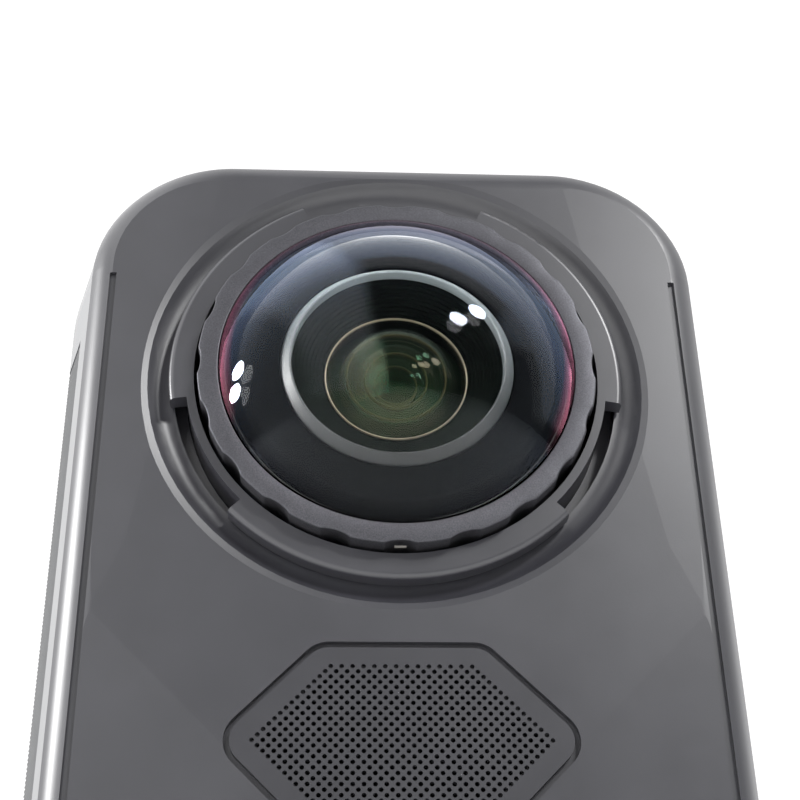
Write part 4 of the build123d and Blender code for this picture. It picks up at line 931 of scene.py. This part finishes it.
@dataclass
class RibbedGrips:
    """The fine ribs of the side grips and of the battery cover, each with one profile of pitch and height."""

    half_width: float = 23.0
    full_width_depth: float = 3.7
    seam_depth: float = 10.8
    seam_inset: float = 2.12
    half_depth: float = 7.95
    rib_height: float = 0.1
    pitch: float = 0.29
    bite: float = 0.03
    end_margin: float = 0.12
    end_fade: float = 0.15
    end_share: float = 0.1
    full_share: float = 0.98
    bend_ease: float = 0.25
    profile: tuple[Point2, ...] = ((-0.49, 0.0), (-0.42, 0.25), (-0.2, 0.88), (0.0, 1.0), (0.2, 0.88), (0.42, 0.25),
                                   (0.49, 0.0))
    cover_half_depth: float = 6.9
    left_low: float = 46.0
    right_low: float = 86.7
    top: float = 109.1
    cover_low: float = 22.2
    cover_high: float = 83.0

    def surface(self, y: float) -> float:
        """The distance of the grip's plain surface from the middle, at a depth."""
        slope = self.seam_inset / (self.seam_depth - self.full_width_depth)
        return self.half_width - self.rib_height - max(abs(y) - self.full_width_depth, 0.0) * slope

    def rib(self, direction: int, half_depth: float, z: float) -> Mesh:
        """One rib across a grip.

        Args:
            direction: -1 for the left side, 1 for the right.
            half_depth: Half the grip's width.
            z: The rib's height.

        Returns:
            Its mesh.
        """
        reach, bend = half_depth - self.end_margin, self.full_width_depth
        ys = [bend - self.bend_ease, bend, bend + self.bend_ease, reach - self.end_fade, reach]
        ys = [-y for y in reversed(ys)] + ys
        sections = []
        for y in ys:
            height = self.rib_height * (self.end_share if abs(y) == reach else self.full_share)
            sections.append([(direction * (self.surface(y) + (rise * height if rise else -self.bite)), y,
                              z + across * self.pitch) for across, rise in self.profile])
        return loft(sections, 50, 0.0001)

    def strip(self, name: str, direction: int, half_depth: float, low: float, high: float, body: str) -> None:
        """All the ribs of one grip.

        Args:
            name: The piece's name.
            direction: -1 for the left side, 1 for the right.
            half_depth: Half the grip's width.
            low: The grip's lower end.
            high: Its upper end.
            body: The body that it rides on.
        """
        count = int((high - low - 2 * self.end_margin) / self.pitch)
        first = (low + high - (count - 1) * self.pitch) / 2
        ribs = Row(count, (0.0, 0.0, self.pitch), PALETTE.grip).of(self.rib(direction, half_depth, first))
        put(name, ribs, PALETTE.grip, body)

    def build(self) -> None:
        """Build the ribs of every grip."""
        self.strip("left_grip_ribs", -1, self.half_depth, self.left_low, self.top, "body")
        self.strip("right_grip_ribs", 1, self.half_depth, self.right_low, self.top, "body")
        self.strip("cover_ribs", 1, self.cover_half_depth, self.cover_low, self.cover_high, "battery")


@dataclass
class Fittings:
    """The small fittings: base screws, tripod thread, key inlays and latch ridges."""

    screw_head: float = 1.10
    screw_shank: float = 0.6
    screw_face: float = 0.05
    screw_taper: float = 0.55
    screw_tip: float = 2.8
    screw_edge: float = 0.06
    screw_facets: int = 24
    drive_flat: float = 0.52
    drive_depth: float = 0.4
    thread_wall: float = 2.62
    thread_crest: float = 2.42
    thread_skin: float = 0.01
    thread_pitch: float = 1.27
    thread_root: float = 0.42
    thread_flat: float = 0.07
    thread_low: float = 0.9
    thread_turns: int = 5
    thread_facets: int = 36
    thread_lead: int = 9
    thread_end: float = 0.05
    inlay_depth: float = 0.1
    inlay_rise: float = 0.02
    inlay_edge: float = 0.015
    inlay_facets: int = 72
    ridge_pitch: float = 0.42
    ridge_rise: float = 0.08
    ridge_bite: float = 0.05
    ridge_foot: float = 0.3
    ridge_crest: float = 0.15
    ridge_reach: float = 0.28

    def driven(self, radius: float, _depth: float, angle: float) -> float:
        """A screw's radius at an angle, which is a hexagon's as far out as the drive's flats."""
        sixth = math.pi / 3
        return radius / math.cos((angle % sixth) - sixth / 2) if radius <= self.drive_flat else radius

    def screws(self) -> None:
        """The four countersunk base screws with hexagonal drives, two rows of two."""
        deep = self.screw_face + self.drive_depth
        outline = [(0.0, deep), (self.drive_flat, deep), (self.drive_flat, self.screw_face),
                   (self.screw_head - self.screw_edge, self.screw_face),
                   (self.screw_head, self.screw_face + self.screw_edge),
                   (self.screw_shank, self.screw_taper), (self.screw_shank, self.screw_tip), (0.0, self.screw_tip)]
        low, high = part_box("base_screws")
        first = (low[k] / MM + self.screw_head for k in range(2))
        span = [(high[k] - low[k]) / MM - 2 * self.screw_head for k in range(2)]
        mesh = upright_axis(*first).turn(outline, self.screw_facets, reach=self.driven)
        for step in ((span[0], 0.0, 0.0), (0.0, span[1], 0.0)):
            mesh = Row(2, step, PALETTE.dark_steel).of(mesh)
        put("base_screw_set", mesh, PALETTE.dark_steel, "body", ["base_screws"])

    def thread(self) -> None:
        """The helical thread in the tripod socket, running out at both ends."""
        axis, half = upright_axis(), self.thread_pitch * self.thread_root
        count = self.thread_facets * self.thread_turns
        sections = []
        for step in range(count + 1):
            turns = step / self.thread_facets
            share = min(1.0, step / self.thread_lead, (count - step) / self.thread_lead + self.thread_end)
            crest = self.thread_wall - (self.thread_wall - self.thread_crest) * share - self.thread_skin
            corners = ((self.thread_wall, -half), (crest, -self.thread_flat), (crest, self.thread_flat),
                       (self.thread_wall, half))
            sections.append([axis.place(r, 2 * math.pi * turns, self.thread_low + self.thread_pitch * turns + rise)
                             for r, rise in corners])
        put("tripod_thread", loft(sections), PALETTE.steel, "body")

    def inlay(self, node: str, body: str, radius: float, width: float, finish: Finish) -> None:
        """A thin ring let into the face of a round key.

        Args:
            node: The key's node.
            body: The body that it rides on.
            radius: The ring's outer radius.
            width: Its width.
            finish: Its finish.
        """
        low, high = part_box(node)
        x, z, face = (low[0] + high[0]) / 2 / MM, (low[2] + high[2]) / 2 / MM, high[1] / MM
        outline = band(radius, width, face - self.inlay_depth, face + self.inlay_rise, self.inlay_edge, 2)
        mesh = outward_axis(Side.SCREEN, x, z).turn(outline, self.inlay_facets, 40)
        put(f"{node}_inlay", mesh, finish, body)

    def ridges(self, node: str, body: str, count: int) -> None:
        """Finger ridges across a latch.

        Args:
            node: The latch's node.
            body: The body that it rides on.
            count: How many there are.
        """
        low, high = (tuple(value / MM for value in corner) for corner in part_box(node))
        side, face = (-1, low[0]) if low[0] < 0 else (1, high[0])
        middle, reach = (low[1] + high[1]) / 2, (high[1] - low[1]) * self.ridge_reach
        first = (low[2] + high[2]) / 2 - self.ridge_pitch * (count - 1) / 2
        foot, crest = self.ridge_pitch * self.ridge_foot, self.ridge_pitch * self.ridge_crest
        corners = ((-foot, -self.ridge_bite), (-crest, self.ridge_rise), (crest, self.ridge_rise),
                   (foot, -self.ridge_bite))
        ridge = loft([[(face + side * rise, y, first + across) for across, rise in corners]
                      for y in (middle - reach, middle + reach)])
        put(f"{node}_ridges", Row(count, (0.0, 0.0, self.ridge_pitch), PALETTE.key).of(ridge), PALETTE.key, body)

    def build(self) -> None:
        """Build every fitting."""
        self.screws()
        self.thread()
        self.inlay("shutter_button", "shutter_key", radius=2.7, width=0.35, finish=PALETTE.record_red)
        self.inlay("lens_button", "lens_key", radius=1.5, width=0.25, finish=PALETTE.light)
        self.ridges("door_latch", "door_catch", count=4)
        self.ridges("battery_latch", "battery_catch", count=5)


@dataclass
class Housing:
    """The finishes of the CAD nodes that show as they are."""

    def dress(self) -> None:
        """Give every shown node its finish."""
        p = PALETTE
        groups = (
            (p.frame_metal, ("mid_frame",)),
            (p.shell, ("grille_side_shell", "screen_side_shell", "usb_door")),
            (p.grip, ("left_side_grip", "right_side_grip", "battery_cover")),
            (p.grille, ("hex_grille",)),
            (p.mesh_cloth, ("wind_guard",)),
            (p.cover_glass, ("touch_glass",)),
            (p.panel, ("display_panel", "image_sensors")),
            (p.light, ("status_window",)),
            (p.chip, ("speaker", "key_switches", "main_chips", "microphones", "side_switch_strip")),
            (p.board, ("key_board", "main_board", "usb_board", "sensor_boards")),
            (p.spreader, ("heat_spreader",)),
            (p.base, ("base_plate",)),
            (p.dark_steel, ("base_screws",)),
            (p.steel, ("barrel_screws", "tripod_socket", "usb_connector", "hinge_pin", "card_socket")),
            (p.gold, ("battery_contacts",)),
            (p.teal_coat, ("rear_elements",)),
            (p.key, ("shutter_button", "lens_button", "power_button", "quick_button", "door_latch", "battery_latch")),
            (p.seal, ("door_seal", "cover_seal", "grille_dome_seal", "screen_dome_seal")),
            (p.battery, ("battery_pack",)),
            (p.card, ("memory_card",)),
            (p.collar, ("grille_bayonet_collar", "screen_bayonet_collar")),
            (p.black, ("grille_lens_barrel", "screen_lens_barrel")),
        )
        for finish, names in groups:
            for name in names:
                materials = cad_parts[name].data.materials
                materials.clear()
                materials.append(finish.material())
                LOG.info("%s: %s", name, finish.name)


@dataclass(frozen=True)
class Glow:
    """A bright part of the surroundings: its level, and on some axes where it starts and where it is full."""

    level: float
    edges: tuple[tuple[str, float, float], ...]

    def strength(self, graph: NodeGraph, direction: Node) -> NodeSocket:
        """Its level in a direction.

        Args:
            graph: The world's nodes.
            direction: The node that has the direction's X, Y and Z.

        Returns:
            The level, which falls off softly over each edge.
        """
        level = self.level
        for axis, outside, inside in self.edges:
            share = graph.mapped(direction.outputs[axis], outside, inside, shape="SMOOTHSTEP")
            level = graph.math("MULTIPLY", share, level)
        return level


@dataclass
class Studio:
    """The plain floor, the soft lamps, the pale surroundings and the camera, with its distances in metres."""

    eye: Point3 = (-0.0055, -0.1004, -0.0556)
    pitch: float = 31.25
    yaw: float = 3.7
    roll: float = -1.1
    focal_px: float = 1572.0
    frame_px: float = 800.0
    film_mm: float = 36.0
    nearest: float = 0.01
    farthest: float = 20.0
    lamp_distance: float = 0.6
    lamp_size: float = 0.078
    lamp_level: float = 115.0
    right_share: float = 0.88
    lamp_spots: tuple[tuple[str, Point3], ...] = (
        ("left_high_lamp", (-0.914, -0.127, 0.385)), ("left_low_lamp", (-0.962, -0.117, 0.246)),
        ("right_low_lamp", (0.443, -0.697, 0.565)), ("right_high_lamp", (0.544, -0.539, 0.644)))
    front_level: float = 0.15
    left: Glow = Glow(0.85, (("X", -0.1, -0.26),))
    left_panel: Glow = Glow(2.1, (("X", -0.1, -0.26), ("X", -0.8, -0.6)))
    right_card: Glow = Glow(0.9, (("X", 0.6, 0.72), ("Z", 0.42, 0.52)))
    back: Glow = Glow(1.15, (("Y", -0.27, -0.19), ("Z", 0.0, 0.12)))
    right_rear: Glow = Glow(2.5, (("X", 0.55, 0.75), ("Y", 0.05, 0.25), ("Z", 0.6, 0.45)))
    faces_through: int = 4
    floor_radius: float = 1.5
    floor_facets: int = 96

    def camera(self) -> None:
        """Set the camera where the photograph was taken."""
        pitch, yaw, roll = (math.radians(a) for a in (self.pitch, self.yaw, self.roll))
        forward = Vector((math.sin(yaw) * math.cos(pitch), math.cos(yaw) * math.cos(pitch), math.sin(pitch)))
        level = forward.cross(Vector((0, 0, 1))).normalized()
        upright = level.cross(forward)
        across = level * math.cos(roll) + upright * math.sin(roll)
        upward = upright * math.cos(roll) - level * math.sin(roll)
        data = bpy.data.cameras.new("viewpoint")
        data.sensor_width = self.film_mm
        data.lens = self.focal_px / self.frame_px * self.film_mm
        data.clip_start, data.clip_end = self.nearest, self.farthest
        turn = Matrix((across, upward, -forward)).transposed().to_4x4()
        bpy.context.scene.camera = self.hang("viewpoint", data, Vector(self.eye), turn)

    @staticmethod
    def hang(name: str, data: bpy.types.ID, offset: Vector, turn: Matrix) -> Object:
        """Place the camera or a lamp, seen from the lens.

        Args:
            name: Its name.
            data: Its camera or light data.
            offset: Where it is from the lens, in metres.
            turn: How it is turned.

        Returns:
            Its object.
        """
        thing = bpy.data.objects.new(name, data)
        thing.matrix_world = Matrix.Translation(Vector((0, 0, LENS_HEIGHT * MM)) + offset) @ turn
        bpy.context.scene.collection.objects.link(thing)
        return thing

    @staticmethod
    def under_glass(graph: NodeGraph) -> NodeSocket:
        """Nought for light that a matt surface finds by way of glass, which lets it straight through as well."""
        path = graph.add("LightPath").outputs
        matt = graph.math("GREATER_THAN", path["Diffuse Depth"], FIRST_BOUNCE)
        return graph.math("SUBTRACT", 1.0, graph.math("MULTIPLY", path["Is Transmission Ray"], matt))

    def lamps(self) -> None:
        """Two pairs of round lamps, left and right, that face the lens."""
        for name, direction in self.lamp_spots:
            level = self.lamp_level * (self.right_share if direction[0] > 0 else 1.0)
            data = bpy.data.lights.new(name, "AREA")
            data.shape, data.size = "DISK", self.lamp_size
            data.energy = level * math.pi * (math.pi * self.lamp_size * self.lamp_size / 4)
            data.use_nodes = True
            graph = NodeGraph(data.node_tree)
            graph.fit(data.node_tree.nodes["Emission"], Strength=self.under_glass(graph))
            away = Vector(direction).normalized()
            self.hang(name, data, away * self.lamp_distance, away.to_track_quat("Z", "Y").to_matrix().to_4x4())

    def surroundings(self) -> None:
        """White behind the object, and round it light that is bright at the left, behind and at the right rear."""
        world = bpy.data.worlds.new("surroundings")
        bpy.context.scene.world = world
        world.use_nodes = True
        graph = NodeGraph(world.node_tree)
        direction = graph.add("SeparateXYZ", Vector=graph.add("TexCoord").outputs["Generated"])
        level = self.front_level
        for glow in (self.left, self.left_panel, self.right_card, self.back, self.right_rear):
            level = graph.math("MAXIMUM", level, glow.strength(graph, direction))
        level = graph.math("MULTIPLY", level, self.under_glass(graph))
        path = graph.add("LightPath").outputs
        bounced = graph.math("SUBTRACT", path["Ray Depth"], path["Transmission Depth"])
        straight = graph.math("LESS_THAN", bounced, FIRST_BOUNCE)
        shallow = graph.math("LESS_THAN", path["Transmission Depth"], self.faces_through + FIRST_BOUNCE)
        through = graph.math("MULTIPLY", path["Is Transmission Ray"], graph.math("MULTIPLY", straight, shallow))
        seen = graph.math("MAXIMUM", path["Is Camera Ray"], through)
        graph.fit(world.node_tree.nodes["Background"], Color=(1.0, 1.0, 1.0, 1.0),
                  Strength=graph.math("MAXIMUM", level, seen))

    def floor(self) -> None:
        """A plain pale floor under the camera."""
        maker = bmesh.new()
        bmesh.ops.create_circle(maker, cap_ends=True, segments=self.floor_facets, radius=self.floor_radius)
        mesh = bpy.data.meshes.new("floor")
        maker.to_mesh(mesh)
        maker.free()
        mesh.materials.append(PALETTE.floor.material())
        floor = bpy.data.objects.new("floor", mesh)
        bpy.context.scene.collection.objects.link(floor)

    def build(self) -> None:
        """Set up the whole studio."""
        bpy.context.scene.view_settings.view_transform = "Standard"
        self.camera()
        self.lamps()
        self.surroundings()
        self.floor()


def main() -> None:
    """Dress the camera and set up the studio."""
    logging.basicConfig(level=logging.INFO, format="%(name)s: %(message)s")
    Studio().build()
    Housing().dress()
    for side in Side:
        Optics(side).build()
    RibbedGrips().build()
    Fittings().build()


if __name__ == "__main__":
    main()
